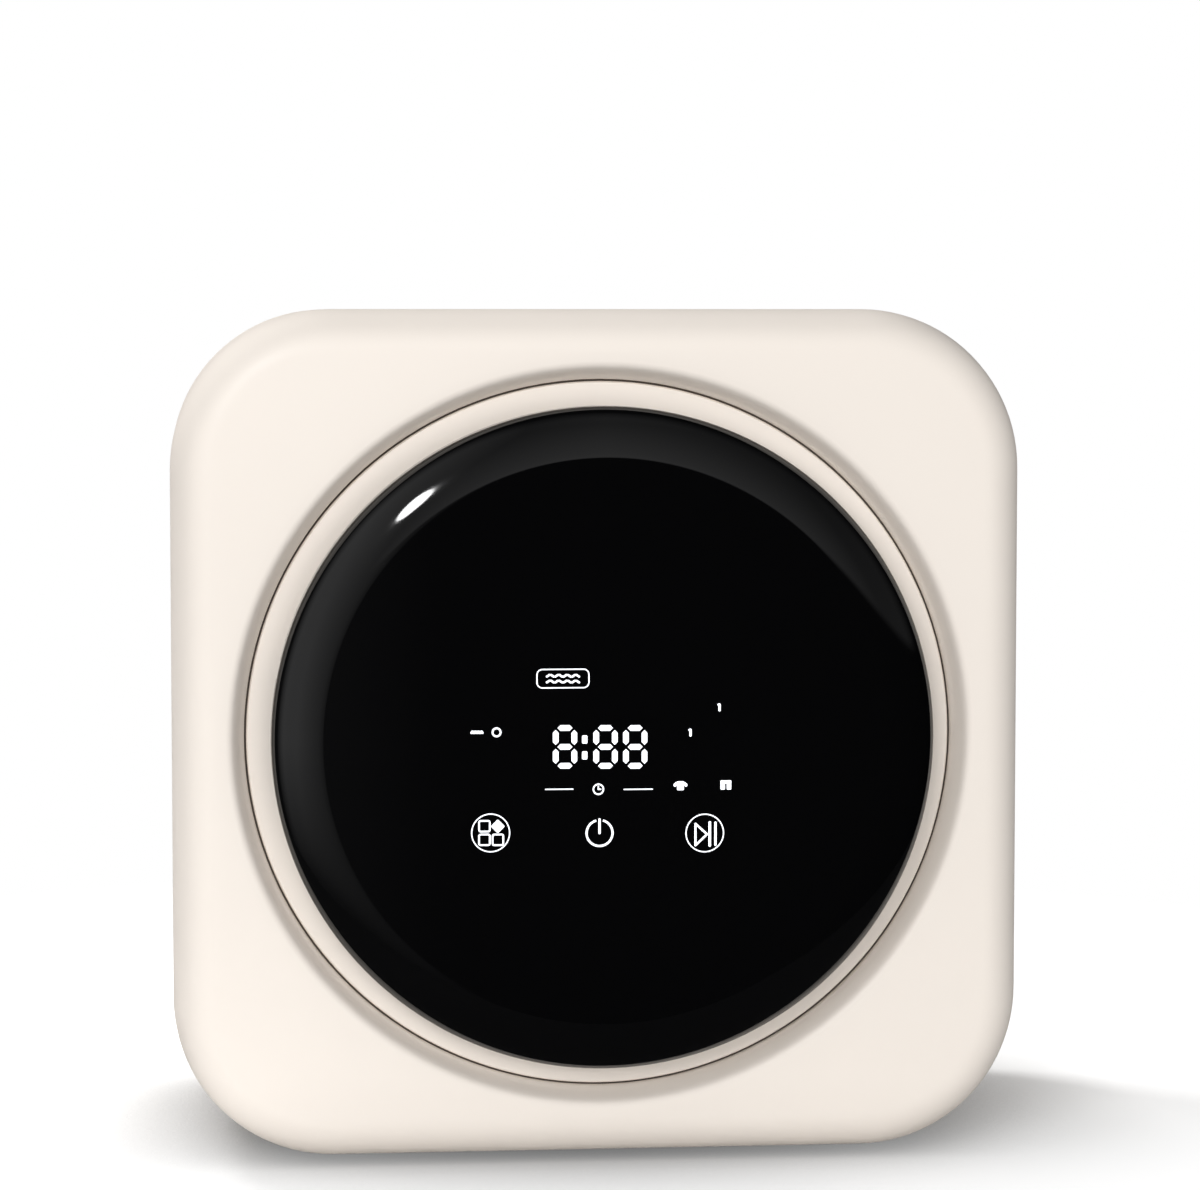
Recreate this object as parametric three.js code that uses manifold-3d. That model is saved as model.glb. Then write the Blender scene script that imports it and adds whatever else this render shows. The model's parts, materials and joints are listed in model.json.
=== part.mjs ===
// Wall mounted washing machine, in millimetres, +Z up, standing on its feet at z = 0.
// The wall is behind it at +Y and the door faces -Y. Inside the housing a place is given as x and z from the
// drum axis and a depth d from the wall plane, so a profile is a list of [radius, depth] pairs.
import * as THREE from "three";
import { mergeVertices } from "three/addons/utils/BufferGeometryUtils.js";
import Module from "manifold-3d";

const wasm = await Module();
wasm.setup();

// ---- housing ----
const BODY_W = 400;
const BODY_H = 398;
const CORNER_R = 75;
const CREST_D = 254; // wall plane to the highest line round the recess
const WALL = 3;
const CLEAR = 0.3; // gap between two pieces that seat on each other
const SPLIT_D = 112; // joint between the front and the rear shell
const LAP = 12; // how far the rear shell reaches into the front shell
const REAR_STEP = 6; // the rear shell stands in from the front shell by this much
const BACK_ROUND = 14;
const EDGE_IN = 20; // rounding of the front edge, across and deep
const EDGE_DEEP = 26.5;
const CREST_RISE = 1.5;
const CREST_LAND = 2;
const SLOPE_RUN = 11; // the dished slope from the crest down to the seam
const RECESS = 14; // crest down to the margin ring
const SEAM_GAP = 1;
const LEDGE = 8; // inner ledge that the recess panel rests on
const POST_R = 5.5;
const POST_INSET = 17; // screw posts stand this far in from the corner arc
const POST_D = 60;

// ---- recess panel ----
const MARGIN = 13; // pale ring between the seam and the door
const MARGIN_STEP = 4; // margin ring down to the floor behind the door
const PANEL_WALL = 3;
const PANEL_LAP = 4; // gasket flange over the recess panel

// ---- feet ----
const FOOT_DROP = 3;
const FOOT_R = 15.6;
const FOOT_STEM_R = 5;
const FOOT_STEM = 9;
const FOOT_EDGE = 82; // feet in from the side
const FOOT_REAR_D = 70;
const FOOT_FRONT_D = 190;

// ---- wall bracket and rear frame ----
const BRACKET_T = 2;
const BRACKET_W = 200;
const BRACKET_H = 60;
const BRACKET_IN = 14; // middle of the wall bracket below the top of the rear frame
const HOOK_X = 60;
const HOOK_W = 20;
const HOOK_H = 18;
const HOOK_NECK = 4;
const WALL_SCREW_R = 3.2;
const FRAME_T = 2.4;
const FRAME_GAP = 5; // rear frame to the service recesses
const FRAME_HOLE_R = 68;
const TUB_POST_R = 10;
const TUB_POST_IN = 19.08; // tub posts in from the corners of the rear frame

// ---- service recesses at the back ----
const SERVICE_EDGE = 68; // middle of a recess in from the edge of the housing
const SERVICE_HALF = 22;
const SERVICE_DEEP = 28;
const SERVICE_WALL = 2.5;
const PORT_D = 8; // the hose ports end this far in front of the wall
const INLET_R = 10.5;
const DRAIN_R = 10;
const GLAND_R = 6;
const GLAND_STEP = 39; // the cord gland stands beside the drain port

// ---- tub ----
const POST_TO_MOTOR = 1.86; // corner post to the motor, which leaves the tub its room
const TUB_WALL = 4;
const TUB_BACK_D = 40;
const TUB_SPLIT_D = 120;
const TUB_FLANGE = 5;
const TUB_FLANGE_T = 3;
const TUB_TO_PANEL = 36; // tub front to the recess floor
const NECK_OUT = 2; // neck round the gasket flange
const NECK_LEN = 10;
const HUB_R = 26;
const HUB_BACK_D = 25;

// ---- drum ----
const DRUM_GAP = 10; // drum to the tub
const DRUM_WALL = 1.5;
const DRUM_BACK_GAP = 10; // tub's inner back to the drum's back
const DRUM_FRONT_GAP = 8;
const DRUM_ROUND = 6;
const SPIDER_T = 4.2;
const SPIDER_ARM_IN = 25; // middle of an arm's round end in from the drum wall
const SPIDER_ARM_HALF = 11;
const SPIDER_WAIST = 30;
const DRUM_SCREW_AT = 42;
const DRUM_SCREW_R = 2.7;
const LIFTER_H = 24;
const LIFTER_HALF = 17;
const LIFTER_MARGIN = 14;
const ARMS = 3;
const WATER_HOLE_R = 2.6;
const WATER_ROWS = 4;
const WATER_COLUMNS = 5; // in each field between two lifters
const WATER_SPREAD = 60; // degrees from the first column to the last

// ---- drive ----
const SHAFT_R = 8;
const FLANGE_R = 52;
const FLANGE_T = 5;
const BEARING_R = 18;
const BEARING_T = 7;
const BEARING_SHOULDER = 2;
const SEAL_T = 3;
const PULLEY_R = 75;
const PULLEY_W = 10;
const PULLEY_RIM = 7;
const PULLEY_HUB_R = 16;
const PULLEY_SPOKES = 5;
const PULLEY_D = 12;
const NUT_R = 12;
const NUT_T = 3;
const MOTOR_R = 36;
const MOTOR_LEN = 74;
const MOTOR_GAP = 4; // motor to the tub's flange
const MOTOR_SHAFT_R = 4;
const MOTOR_PULLEY_R = 9;
const BELT_T = 2.5;
const BELT_W = 7;

// ---- water and electrics ----
const HOSE_R = 8;
const SPIGOT_LEN = 8;
const FILL_SPIGOT_R = 7;
const FILL_ANGLE = 45;
const FILL_D = 104;
const SUMP_SPIGOT_R = 9;
const SUMP_ANGLE = 255;
const SUMP_D = 80;
const VALVE_LEN = 36;
const VALVE_OUTLET_R = 7;
const VALVE_OUTLET_LEN = 10;
const PUMP_R = 28;
const PUMP_D = 18; // pump body in front of its seat
const PUMP_LEN = 40;
const PUMP_MOTOR_R = 20;
const PUMP_MOTOR_LEN = 42;
const PUMP_INLET_LEN = 33;
const CONTROL_HALF_W = 42;
const CONTROL_HALF_T = 15;
const CONTROL_GAP = 9; // control box to the tub's flange
const CONTROL_D = 58;
const CONTROL_LEN = 108;

// ---- gasket ----
const DOME_GAP = 1; // dome inside the gasket's lip
const GASKET_T = 3;
const GASKET_FLANGE_W = 26;

// ---- door ----
const DOOR_SET_BACK = 2; // the door's back edge lies this far behind the crest
const DOOR_RIM = 10;
const DOOR_SHOULDER_IN = 22;
const DOOR_SHOULDER_UP = 16;
const DOOR_CROWN = 2;
const DOOR_WALL = 2.5;
const DOOR_LIFT = 10; // recess floor to the back of the inner frame
const RING_UP = 3;
const RING_IN = 36; // raised ring in from the door's edge
const FRAME_SLOPE = 6;
const DOME_RING_GAP = 22; // raised ring to the dome's flange
const DOME_FLANGE_W = 16;
const DOME_DEEP = 48;
const DOOR_SCREW_IN = 17;
const DOOR_SCREW_R = 1.6;
const BOARD_HALF_W = 64;
const BOARD_HALF_H = 50;
const BOARD_Z = -14;
const BOARD_T = 1.6;
const BOARD_BACK = 14; // display board behind the door's edge of the crown

// ---- hinge ----
const HINGE_IN = 20; // hinge axis in from the door's edge
const HINGE_UP = 8; // and in front of the door's back edge
const PIN_R = 2.2;
const KNUCKLE_R = 4.5;
const BARREL_HALF = 29.7;
const EAR_T = 6;
const HINGE_PLATE_HALF = 69;
const HINGE_PLATE_W = 27;
const HINGE_PLATE_T = 2;
const HINGE_SCREW_STEP = 21;
const HINGE_SCREW_Z = 58;
const ARM_T = 2.5;
const ARM_HALF = 52;
const ARM_REACH = 32; // hinge axis to the far edge of the arm's pad
const ARM_PAD_W = 14;
const ARM_NOTCH = 24; // hinge axis to the edge of the inner frame beside the arm

// ---- latch ----
const LATCH_IN = 13.5; // latch pin in from the door's edge
const LATCH_UP = 6; // latch pin in front of the inner frame's back
const LATCH_PIN_R = 1.5;
const LATCH_HUB_R = 4;
const GRIP_HALF = 38.5;
const GRIP_OUT = 12;
const GRIP_T = 2.8;
const HOOK_ROOM = 6; // room beside the hook for its swing
const TONGUE_HALF = 12;
const TONGUE_T = 3.5;
const TONGUE_IN = 9; // how deep the hook reaches below the recess floor
const STRIKE_IN = 9.5; // strike slot in from the latch pin
const STRIKE_W = 10.6;
const STRIKE_H = 29.5;
const BEZEL_W = 23;
const BEZEL_H = 39;
const LOCK_HALF_H = 30;
const LOCK_DEEP = 28;

// ---- screws ----
const SCREW_R = 1.8;
const SCREW_HEAD_R = 3.8;
const SCREW_HEAD_T = 2.2;
const HOUSING_SCREW_LEN = 18;
const PANEL_SCREW_LEN = 8;
const DOOR_SCREW_LEN = 14;

// ---- places that follow from these sizes ----
const HALF_W = BODY_W / 2;
const HALF_H = BODY_H / 2;
const HALF_MIN = Math.min(HALF_W, HALF_H);
const RIM_BAND = EDGE_IN + CREST_LAND + SLOPE_RUN;
const SEAM_R = HALF_MIN - RIM_BAND;
const CREST_R = SEAM_R + SLOPE_RUN;
const EDGE_D = CREST_D - CREST_RISE - EDGE_DEEP;
const MARGIN_D = CREST_D - RECESS;
const FLOOR_D = MARGIN_D - MARGIN_STEP;
const LEDGE_D = FLOOR_D - CLEAR;
const LEDGE_R = SEAM_R - LEDGE;
const REAR_D = BRACKET_T + CLEAR;
const REAR_IN_D = REAR_D + WALL;
const FRAME_D = REAR_IN_D + CLEAR;
const DOOR_R = SEAM_R - MARGIN;
const DOOR_BACK_D = CREST_D - DOOR_SET_BACK;
const DOOR_SIDE_D = DOOR_BACK_D + DOOR_RIM;
const DOOR_EDGE_D = DOOR_SIDE_D + DOOR_SHOULDER_UP;
const DOOR_APEX_D = DOOR_EDGE_D + DOOR_CROWN;
const BOARD_D = DOOR_EDGE_D - BOARD_BACK;
const INNER_BACK_D = FLOOR_D + DOOR_LIFT;
const RING_D = INNER_BACK_D - RING_UP;
const HINGE_X = -(DOOR_R - HINGE_IN);
const LATCH_X = DOOR_R - LATCH_IN;
const STRIKE_X = LATCH_X - STRIKE_IN;
const DOOR_SCREW_AT = DOOR_R - DOOR_SCREW_IN;
const RING_R = DOOR_R - RING_IN;
const DOME_FLANGE_R = RING_R - DOME_RING_GAP;
const DOME_R = DOME_FLANGE_R - DOME_FLANGE_W;
const MOUTH_R = DOME_R + DOME_GAP;
const GASKET_FLANGE_R = MOUTH_R + GASKET_FLANGE_W;
const PANEL_HOLE_R = GASKET_FLANGE_R - PANEL_LAP;
const NECK_R = GASKET_FLANGE_R + NECK_OUT;
const DRUM_MOUTH_R = GASKET_FLANGE_R;
const HINGE_D = DOOR_BACK_D + HINGE_UP;
const TUB_FRONT_D = FLOOR_D - TUB_TO_PANEL;
const TUB_IN_D = TUB_BACK_D + TUB_WALL;
const DRUM_BACK_D = TUB_IN_D + DRUM_BACK_GAP;
const DRUM_FRONT_D = TUB_FRONT_D - TUB_WALL - DRUM_FRONT_GAP;
const SPIDER_D = DRUM_BACK_D + DRUM_WALL + CLEAR;
const POST_AT = (HALF_MIN - CORNER_R) * Math.SQRT2 + CORNER_R - POST_INSET;
const MOTOR_AT = POST_AT - POST_R - POST_TO_MOTOR - MOTOR_R;
const TUB_R = MOTOR_AT - MOTOR_R - MOTOR_GAP - TUB_FLANGE;
const DRUM_R = TUB_R - TUB_WALL - DRUM_GAP;
const SPIDER_ARM_R = DRUM_R - SPIDER_ARM_IN;
const SERVICE_AT = HALF_MIN - SERVICE_EDGE;
const FOOT_X = HALF_W - FOOT_EDGE;
const FRAME_HALF = SERVICE_AT - SERVICE_HALF - FRAME_GAP;
const TUB_POST_AT = FRAME_HALF * Math.SQRT2 - TUB_POST_IN;
const BRACKET_Z = FRAME_HALF - BRACKET_IN;
const CONTROL_AT = TUB_R + TUB_FLANGE + CONTROL_GAP + CONTROL_HALF_T;
const MOTOR_D = TUB_IN_D + CLEAR;
const SERVICE_D = REAR_D + SERVICE_DEEP;
const LATCH_D = INNER_BACK_D + LATCH_UP;
const DEPTH = DOOR_APEX_D;

// ---- faceting ----
const RING_SIDES = 40;
const TUB_SIDES = 28;
const SHAFT_SIDES = 12;
const SCREW_SIDES = 6;
const CORNER_STEPS = 6;
const SIDE_STEPS = 7;
const EDGE_STEPS = 3;
const DEG = Math.PI / 180;

// ---- finishes ----
function finish(color, roughness, metalness = 0) {
  return new THREE.MeshStandardMaterial({ color, roughness, metalness });
}
const cream = finish(0xf6ece1, 0.35);
const black = finish(0x08080a, 0.08);
const white = finish(0xf4f3f0, 0.4);
const clear = finish(0xdfe8ec, 0.05);
const rubber = finish(0x8e98a3, 0.75);
const darkRubber = finish(0x2b2b2d, 0.8);
const steel = finish(0xc9ccd0, 0.25, 1);
const zinc = finish(0xa9adb1, 0.45, 1);
const greyPlastic = finish(0x9a9da0, 0.55);
const board = finish(0x1d5a3c, 0.5);

// ---- solids ----
function solidOf(geometry) {
  const bare = geometry.clone();
  bare.deleteAttribute("normal");
  bare.deleteAttribute("uv");
  const merged = mergeVertices(bare, 1e-4);
  const kept = [];
  const index = merged.index.array;
  for (let i = 0; i < index.length; i += 3) {
    const [a, b, c] = index.slice(i, i + 3);
    if (a !== b && b !== c && c !== a) kept.push(a, b, c);
  }
  const vertProperties = merged.attributes.position.array;
  return new wasm.Manifold(
    new wasm.Mesh({ numProp: 3, vertProperties, triVerts: new Uint32Array(kept) }),
  );
}

function geometryOf(solid) {
  const mesh = solid.getMesh();
  const geometry = new THREE.BufferGeometry();
  geometry.setAttribute("position", new THREE.BufferAttribute(mesh.vertProperties, 3));
  geometry.setIndex(new THREE.BufferAttribute(mesh.triVerts, 1));
  const flat = geometry.toNonIndexed();
  flat.computeVertexNormals();
  return flat;
}

function join(first, ...others) {
  return geometryOf(others.reduce((sum, other) => sum.add(solidOf(other)), solidOf(first)));
}

function cut(first, ...tools) {
  return geometryOf(tools.reduce((rest, tool) => rest.subtract(solidOf(tool)), solidOf(first)));
}

function common(first, second) {
  return geometryOf(solidOf(first).intersect(solidOf(second)));
}

// A closed outline of [radius, depth] pairs turned about the drum axis, or about an axis parallel to it at x, z.
function turned(profile, sides, x = 0, z = 0) {
  const points = profile.map(([r, d]) => new THREE.Vector2(r, d));
  if (THREE.ShapeUtils.area(points) < 0) points.reverse();
  points.push(points[0].clone());
  const geometry = new THREE.LatheGeometry(points, sides);
  geometry.rotateZ(Math.PI);
  geometry.translate(x, 0, z);
  return geometry;
}

// A round bar along the depth.
function bar(radius, d0, d1, sides, x = 0, z = 0) {
  return turned([[0, d0], [radius, d0], [radius, d1], [0, d1]], sides, x, z);
}

// A flat shape drawn in x and z, as thick as the way from d0 to d1.
function plate(shape, d0, d1, curveSegments = 6) {
  const geometry = new THREE.ExtrudeGeometry(shape, {
    depth: d1 - d0,
    bevelEnabled: false,
    curveSegments,
  });
  geometry.translate(0, 0, d0);
  geometry.rotateX(Math.PI / 2);
  return geometry;
}

// A flat outline of [x, depth] pairs, as tall as the way from z0 to z1.
function slice(outline, z0, z1) {
  const shape = new THREE.Shape(outline.map(([x, d]) => new THREE.Vector2(x, -d)));
  const geometry = new THREE.ExtrudeGeometry(shape, { depth: z1 - z0, bevelEnabled: false });
  geometry.translate(0, 0, z0);
  return geometry;
}

function block(x0, x1, z0, z1, d0, d1) {
  const geometry = new THREE.BoxGeometry(x1 - x0, d1 - d0, z1 - z0);
  geometry.translate((x0 + x1) / 2, -(d0 + d1) / 2, (z0 + z1) / 2);
  return geometry;
}

// An upright round rod at x and depth d.
function upright(radius, x, d, z0, z1, sides) {
  const geometry = new THREE.CylinderGeometry(radius, radius, z1 - z0, sides);
  geometry.rotateX(Math.PI / 2);
  geometry.translate(x, -d, (z0 + z1) / 2);
  return geometry;
}

// A round bar between two points.
function stub(radius, from, to, sides) {
  const geometry = new THREE.CylinderGeometry(radius, radius, from.distanceTo(to), sides);
  const along = new THREE.Vector3().subVectors(to, from).normalize();
  geometry.applyQuaternion(new THREE.Quaternion().setFromUnitVectors(new THREE.Vector3(0, 1, 0), along));
  const middle = from.clone().lerp(to, 0.5);
  geometry.translate(middle.x, middle.y, middle.z);
  return geometry;
}

function hose(points, radius, steps) {
  const section = new THREE.Shape();
  section.absarc(0, 0, radius, 0, 2 * Math.PI);
  return new THREE.ExtrudeGeometry(section, {
    steps,
    curveSegments: 4,
    extrudePath: new THREE.CatmullRomCurve3(points),
  });
}

// A point at a distance and an angle from the drum axis, at depth d.
function polar(radius, degrees, d) {
  return new THREE.Vector3(radius * Math.cos(degrees * DEG), -d, radius * Math.sin(degrees * DEG));
}

// ---- rounded square housing ----
// The housing's outline is sampled so that straight sides and corner arcs each get their own steps. Every sample
// keeps its outward normal, so that an inset outline stays parallel, and its angle, so that a circle lines up.
function outlineSamples() {
  const samples = [];
  for (let side = 0; side < 4; side++) {
    const turn = side * 90 * DEG;
    const normal = new THREE.Vector2(Math.cos(turn), Math.sin(turn));
    const along = new THREE.Vector2(-normal.y, normal.x);
    const reach = side % 2 ? HALF_H : HALF_W;
    const straight = (side % 2 ? HALF_W : HALF_H) - CORNER_R;
    const halfAngle = Math.atan2(straight, reach);
    for (let step = 0; step < SIDE_STEPS; step++) {
      const run = reach * Math.tan(halfAngle * ((2 * step) / SIDE_STEPS - 1));
      const point = normal.clone().multiplyScalar(reach).addScaledVector(along, run);
      samples.push({ point, normal });
    }
    const centre = normal.clone().multiplyScalar(reach - CORNER_R).addScaledVector(along, straight);
    for (let step = 0; step < CORNER_STEPS; step++) {
      const angle = turn + (90 * DEG * step) / CORNER_STEPS;
      const outward = new THREE.Vector2(Math.cos(angle), Math.sin(angle));
      samples.push({ point: centre.clone().addScaledVector(outward, CORNER_R), normal: outward });
    }
  }
  return samples;
}
const SAMPLES = outlineSamples();

function square(inset, d) {
  const points = SAMPLES.map(({ point, normal }) => point.clone().addScaledVector(normal, -inset));
  return { points, d };
}

function circle(radius, d) {
  return { points: SAMPLES.map(({ point }) => point.clone().setLength(radius)), d };
}

// A skin through a row of stations. It closes on itself, or ends in a flat cap at its first and last station.
function loft(stations, closed) {
  const count = SAMPLES.length;
  const positions = stations.flatMap(({ points, d }) => points.flatMap((p) => [p.x, -d, p.y]));
  const index = [];
  const bands = closed ? stations.length : stations.length - 1;
  for (let row = 0; row < bands; row++) {
    const here = row * count;
    const next = ((row + 1) % stations.length) * count;
    for (let k = 0; k < count; k++) {
      const l = (k + 1) % count;
      index.push(here + k, here + l, next + k, here + l, next + l, next + k);
    }
  }
  if (!closed) {
    const last = (stations.length - 1) * count;
    positions.push(0, -stations[0].d, 0, 0, -stations[stations.length - 1].d, 0);
    for (let k = 0; k < count; k++) {
      const l = (k + 1) % count;
      index.push(last + count, l, k, last + count + 1, last + k, last + l);
    }
  }
  const geometry = new THREE.BufferGeometry();
  geometry.setAttribute("position", new THREE.Float32BufferAttribute(positions, 3));
  geometry.setIndex(index);
  if (solidOf(geometry).volume() < 0) {
    geometry.setIndex(index.reverse());
  }
  return geometry;
}

// Stations round the front edge, from the side wall to the front face, for a skin that lies "in" from the outside.
function frontEdge(inset, steps) {
  const row = [];
  for (let step = 0; step <= steps; step++) {
    const angle = (90 * DEG * step) / steps;
    const across = inset + (EDGE_IN - inset) * (1 - Math.cos(angle));
    row.push(square(across, EDGE_D + (EDGE_DEEP - inset / 2) * Math.sin(angle)));
  }
  return row;
}

function cornerPosts() {
  const run = (CORNER_R - POST_INSET) / Math.SQRT2;
  const x = HALF_W - CORNER_R + run;
  const z = HALF_H - CORNER_R + run;
  return [[x, z], [-x, z], [-x, -z], [x, -z]];
}

function feet() {
  const spots = [];
  for (const side of [-1, 1]) {
    spots.push({ name: side < 0 ? "foot_rear_left" : "foot_rear_right", x: side * FOOT_X, d: FOOT_REAR_D });
    spots.push({ name: side < 0 ? "foot_front_left" : "foot_front_right", x: side * FOOT_X, d: FOOT_FRONT_D });
  }
  return spots.map((spot) => ({ ...spot, step: spot.d < SPLIT_D ? REAR_STEP : 0 }));
}

function footHoles() {
  const low = -HALF_H - CLEAR;
  return feet().map(({ x, d, step }) =>
    upright(FOOT_STEM_R + CLEAR, x, d, low, low + step + 2 * WALL, SHAFT_SIDES));
}

function frontShell() {
  const slopeFoot = SEAM_R + SEAM_GAP / 2;
  const outside = [
    square(0, SPLIT_D),
    ...frontEdge(0, EDGE_STEPS),
    circle(CREST_R, CREST_D),
    circle(CREST_R - 0.4 * SLOPE_RUN, CREST_D - 0.25 * RECESS),
    circle(slopeFoot + 1.5, MARGIN_D + 1.5),
    circle(slopeFoot, MARGIN_D - 1),
    circle(slopeFoot, LEDGE_D),
    circle(LEDGE_R, LEDGE_D),
    circle(LEDGE_R, LEDGE_D - WALL),
    circle(slopeFoot + WALL, LEDGE_D - WALL),
    circle(CREST_R + WALL / 3, CREST_D - 1.2 * WALL),
  ];
  const inside = [...frontEdge(WALL, EDGE_STEPS - 1).reverse(), square(WALL, SPLIT_D)];
  const shell = loft([...outside, ...inside], true);
  const posts = cornerPosts().map(([x, z]) =>
    bar(POST_R, POST_D + CLEAR, CREST_D - 1.8 * WALL, SCREW_SIDES, x, z));
  const pilots = cornerPosts().map(([x, z]) =>
    bar(SCREW_R + CLEAR, POST_D, POST_D + 6 * POST_R / 2, SCREW_SIDES, x, z));
  return cut(join(shell, ...posts), ...pilots, ...footHoles());
}

function rearShell() {
  const lapD = SPLIT_D + 2 * CLEAR;
  const inset = REAR_STEP + WALL;
  const cup = loft([
    square(REAR_STEP + BACK_ROUND, REAR_D),
    square(REAR_STEP + BACK_ROUND / 4, REAR_D + BACK_ROUND / 4),
    square(REAR_STEP, REAR_D + BACK_ROUND),
    square(REAR_STEP, lapD),
    square(WALL + CLEAR, lapD + WALL / 3),
    square(WALL + CLEAR, lapD + LAP),
    square(2 * WALL + CLEAR, lapD + LAP),
    square(2 * WALL + CLEAR, lapD + WALL),
    square(inset, lapD),
    square(inset, REAR_D + BACK_ROUND),
    square(inset + BACK_ROUND, REAR_IN_D),
  ], false);
  const posts = cornerPosts().map(([x, z]) => bar(POST_R + 1, REAR_IN_D - 1, POST_D, SCREW_SIDES, x, z));
  const boardPosts = [-1, 1].map((side) => {
    const spot = boardSpot(side * CONTROL_HALF_W * 0.7, CONTROL_AT);
    return bar(POST_R, REAR_IN_D - 1, CONTROL_D - CLEAR, SCREW_SIDES, spot.x, spot.z);
  });
  const pockets = servicePockets();
  return cut(
    join(cup, ...posts, ...boardPosts, ...pockets.map(({ outer }) => outer)),
    ...pockets.map(({ inner }) => inner),
    ...cornerPosts().map(([x, z]) => bar(SCREW_HEAD_R + CLEAR, -1, POST_D - 2 * WALL, SCREW_SIDES, x, z)),
    ...cornerPosts().map(([x, z]) => bar(SCREW_R + CLEAR, -1, POST_D + 1, SCREW_SIDES, x, z)),
    ...hookSlots(REAR_D - 1, REAR_IN_D + 1, 2 * CLEAR),
    bar(INLET_R + CLEAR, 0, SERVICE_D + 2 * SERVICE_WALL, SHAFT_SIDES, SERVICE_AT, SERVICE_AT),
    bar(DRAIN_R + CLEAR, 0, SERVICE_D + 2 * SERVICE_WALL, SHAFT_SIDES, -SERVICE_AT, -SERVICE_AT),
    bar(GLAND_R + CLEAR, 0, SERVICE_D + 2 * SERVICE_WALL, SHAFT_SIDES, GLAND_STEP - SERVICE_AT, -SERVICE_AT),
    ...ventSlots(),
    ...footHoles(),
  );
}

// Recesses in the back that leave room for the hose ends and the cord.
function servicePockets() {
  const spots = [
    { x0: SERVICE_AT - SERVICE_HALF, x1: SERVICE_AT + SERVICE_HALF, z: SERVICE_AT },
    { x0: -SERVICE_AT - SERVICE_HALF, x1: GLAND_STEP - SERVICE_AT + 2 * GLAND_R + WALL, z: -SERVICE_AT },
  ];
  return spots.map(({ x0, x1, z }) => {
    const w = SERVICE_WALL;
    const z0 = z - SERVICE_HALF;
    const z1 = z + SERVICE_HALF;
    const outer = block(x0 - w, x1 + w, z0 - w, z1 + w, REAR_D + 1, SERVICE_D + w);
    const inner = block(x0, x1, z0, z1, REAR_D - 1, SERVICE_D);
    return { outer, inner };
  });
}

function ventSlots() {
  const slots = [];
  for (let row = 0; row < 5; row++) {
    const z = -MOTOR_AT / Math.SQRT2 + 7 * (row - 2);
    slots.push(block(MOTOR_AT / Math.SQRT2 - 20, MOTOR_AT / Math.SQRT2 + 14, z - 1.5, z + 1.5, 0, REAR_IN_D + 1));
  }
  return slots;
}

function recessPanel() {
  const rim = SEAM_R - SEAM_GAP / 2;
  const step = DOOR_R + 1.5;
  const back = LEDGE_R - 1;
  const ring = turned([
    [PANEL_HOLE_R, FLOOR_D],
    [step, FLOOR_D],
    [step + 1, MARGIN_D - 0.6],
    [step + 2.2, MARGIN_D],
    [rim - 1.2, MARGIN_D],
    [rim, MARGIN_D - 1.2],
    [rim, FLOOR_D],
    [back, FLOOR_D],
    [back, FLOOR_D - PANEL_WALL],
    [PANEL_HOLE_R, FLOOR_D - PANEL_WALL],
  ], RING_SIDES);
  const bosses = hingeScrewSpots().map(({ x, z }) =>
    bar(POST_R - 1, FLOOR_D - 4 * PANEL_WALL, FLOOR_D - PANEL_WALL / 2, SCREW_SIDES, x, z));
  const pilots = hingeScrewSpots().map(({ x, z }) =>
    bar(SCREW_R + CLEAR, FLOOR_D - 3.5 * PANEL_WALL, FLOOR_D + 1, SCREW_SIDES, x, z));
  const gap = 2 * CLEAR;
  const strike = block(
    STRIKE_X - BEZEL_W / 2 - CLEAR, STRIKE_X + BEZEL_W / 2 + CLEAR,
    -(BEZEL_H + gap) / 2, (BEZEL_H + gap) / 2, FLOOR_D - 2 * PANEL_WALL, FLOOR_D + 1);
  return cut(join(ring, ...bosses), ...pilots, strike);
}

function foot({ step }) {
  const top = FOOT_DROP + step - CLEAR;
  const points = [
    [0, 0], [FOOT_R - 1, 0], [FOOT_R, top], [FOOT_STEM_R, top],
    [FOOT_STEM_R, top + FOOT_STEM], [0, top + FOOT_STEM],
  ].map(([r, z]) => new THREE.Vector2(r, z));
  const geometry = new THREE.LatheGeometry(points, SHAFT_SIDES);
  geometry.rotateX(Math.PI / 2);
  return geometryOf(solidOf(geometry));
}

// ---- wall bracket and rear frame ----
function hookSlots(d0, d1, extra) {
  const top = BRACKET_Z - HOOK_NECK + CLEAR + extra;
  const low = top - HOOK_H - 2 * CLEAR - 2 * extra;
  const half = HOOK_W / 2 + 1 + extra;
  return [-HOOK_X, HOOK_X].map((x) => block(x - half, x + half, low, top, d0, d1));
}

function wallBracket() {
  const z0 = BRACKET_Z - BRACKET_H / 2;
  const z1 = BRACKET_Z + BRACKET_H / 2;
  const half = BRACKET_W / 2;
  const hooks = [];
  const neckTop = BRACKET_Z - HOOK_NECK;
  const tongueD = FRAME_D + FRAME_T + CLEAR;
  for (const x of [-HOOK_X, HOOK_X]) {
    const x0 = x - HOOK_W / 2;
    const x1 = x + HOOK_W / 2;
    hooks.push(block(x0, x1, neckTop - HOOK_NECK, neckTop, BRACKET_T / 2, tongueD + BRACKET_T));
    hooks.push(block(x0, x1, neckTop - HOOK_NECK, neckTop - HOOK_NECK + HOOK_H, tongueD, tongueD + BRACKET_T));
  }
  const holes = [-1, 1].flatMap((side) =>
    [-1, 1].map((level) =>
      bar(WALL_SCREW_R, -1, BRACKET_T + 1, SCREW_SIDES, side * half * 0.88, BRACKET_Z + level * BRACKET_H / 3)));
  return cut(join(block(-half, half, z0, z1, 0, BRACKET_T), ...hooks), ...holes);
}

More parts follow.
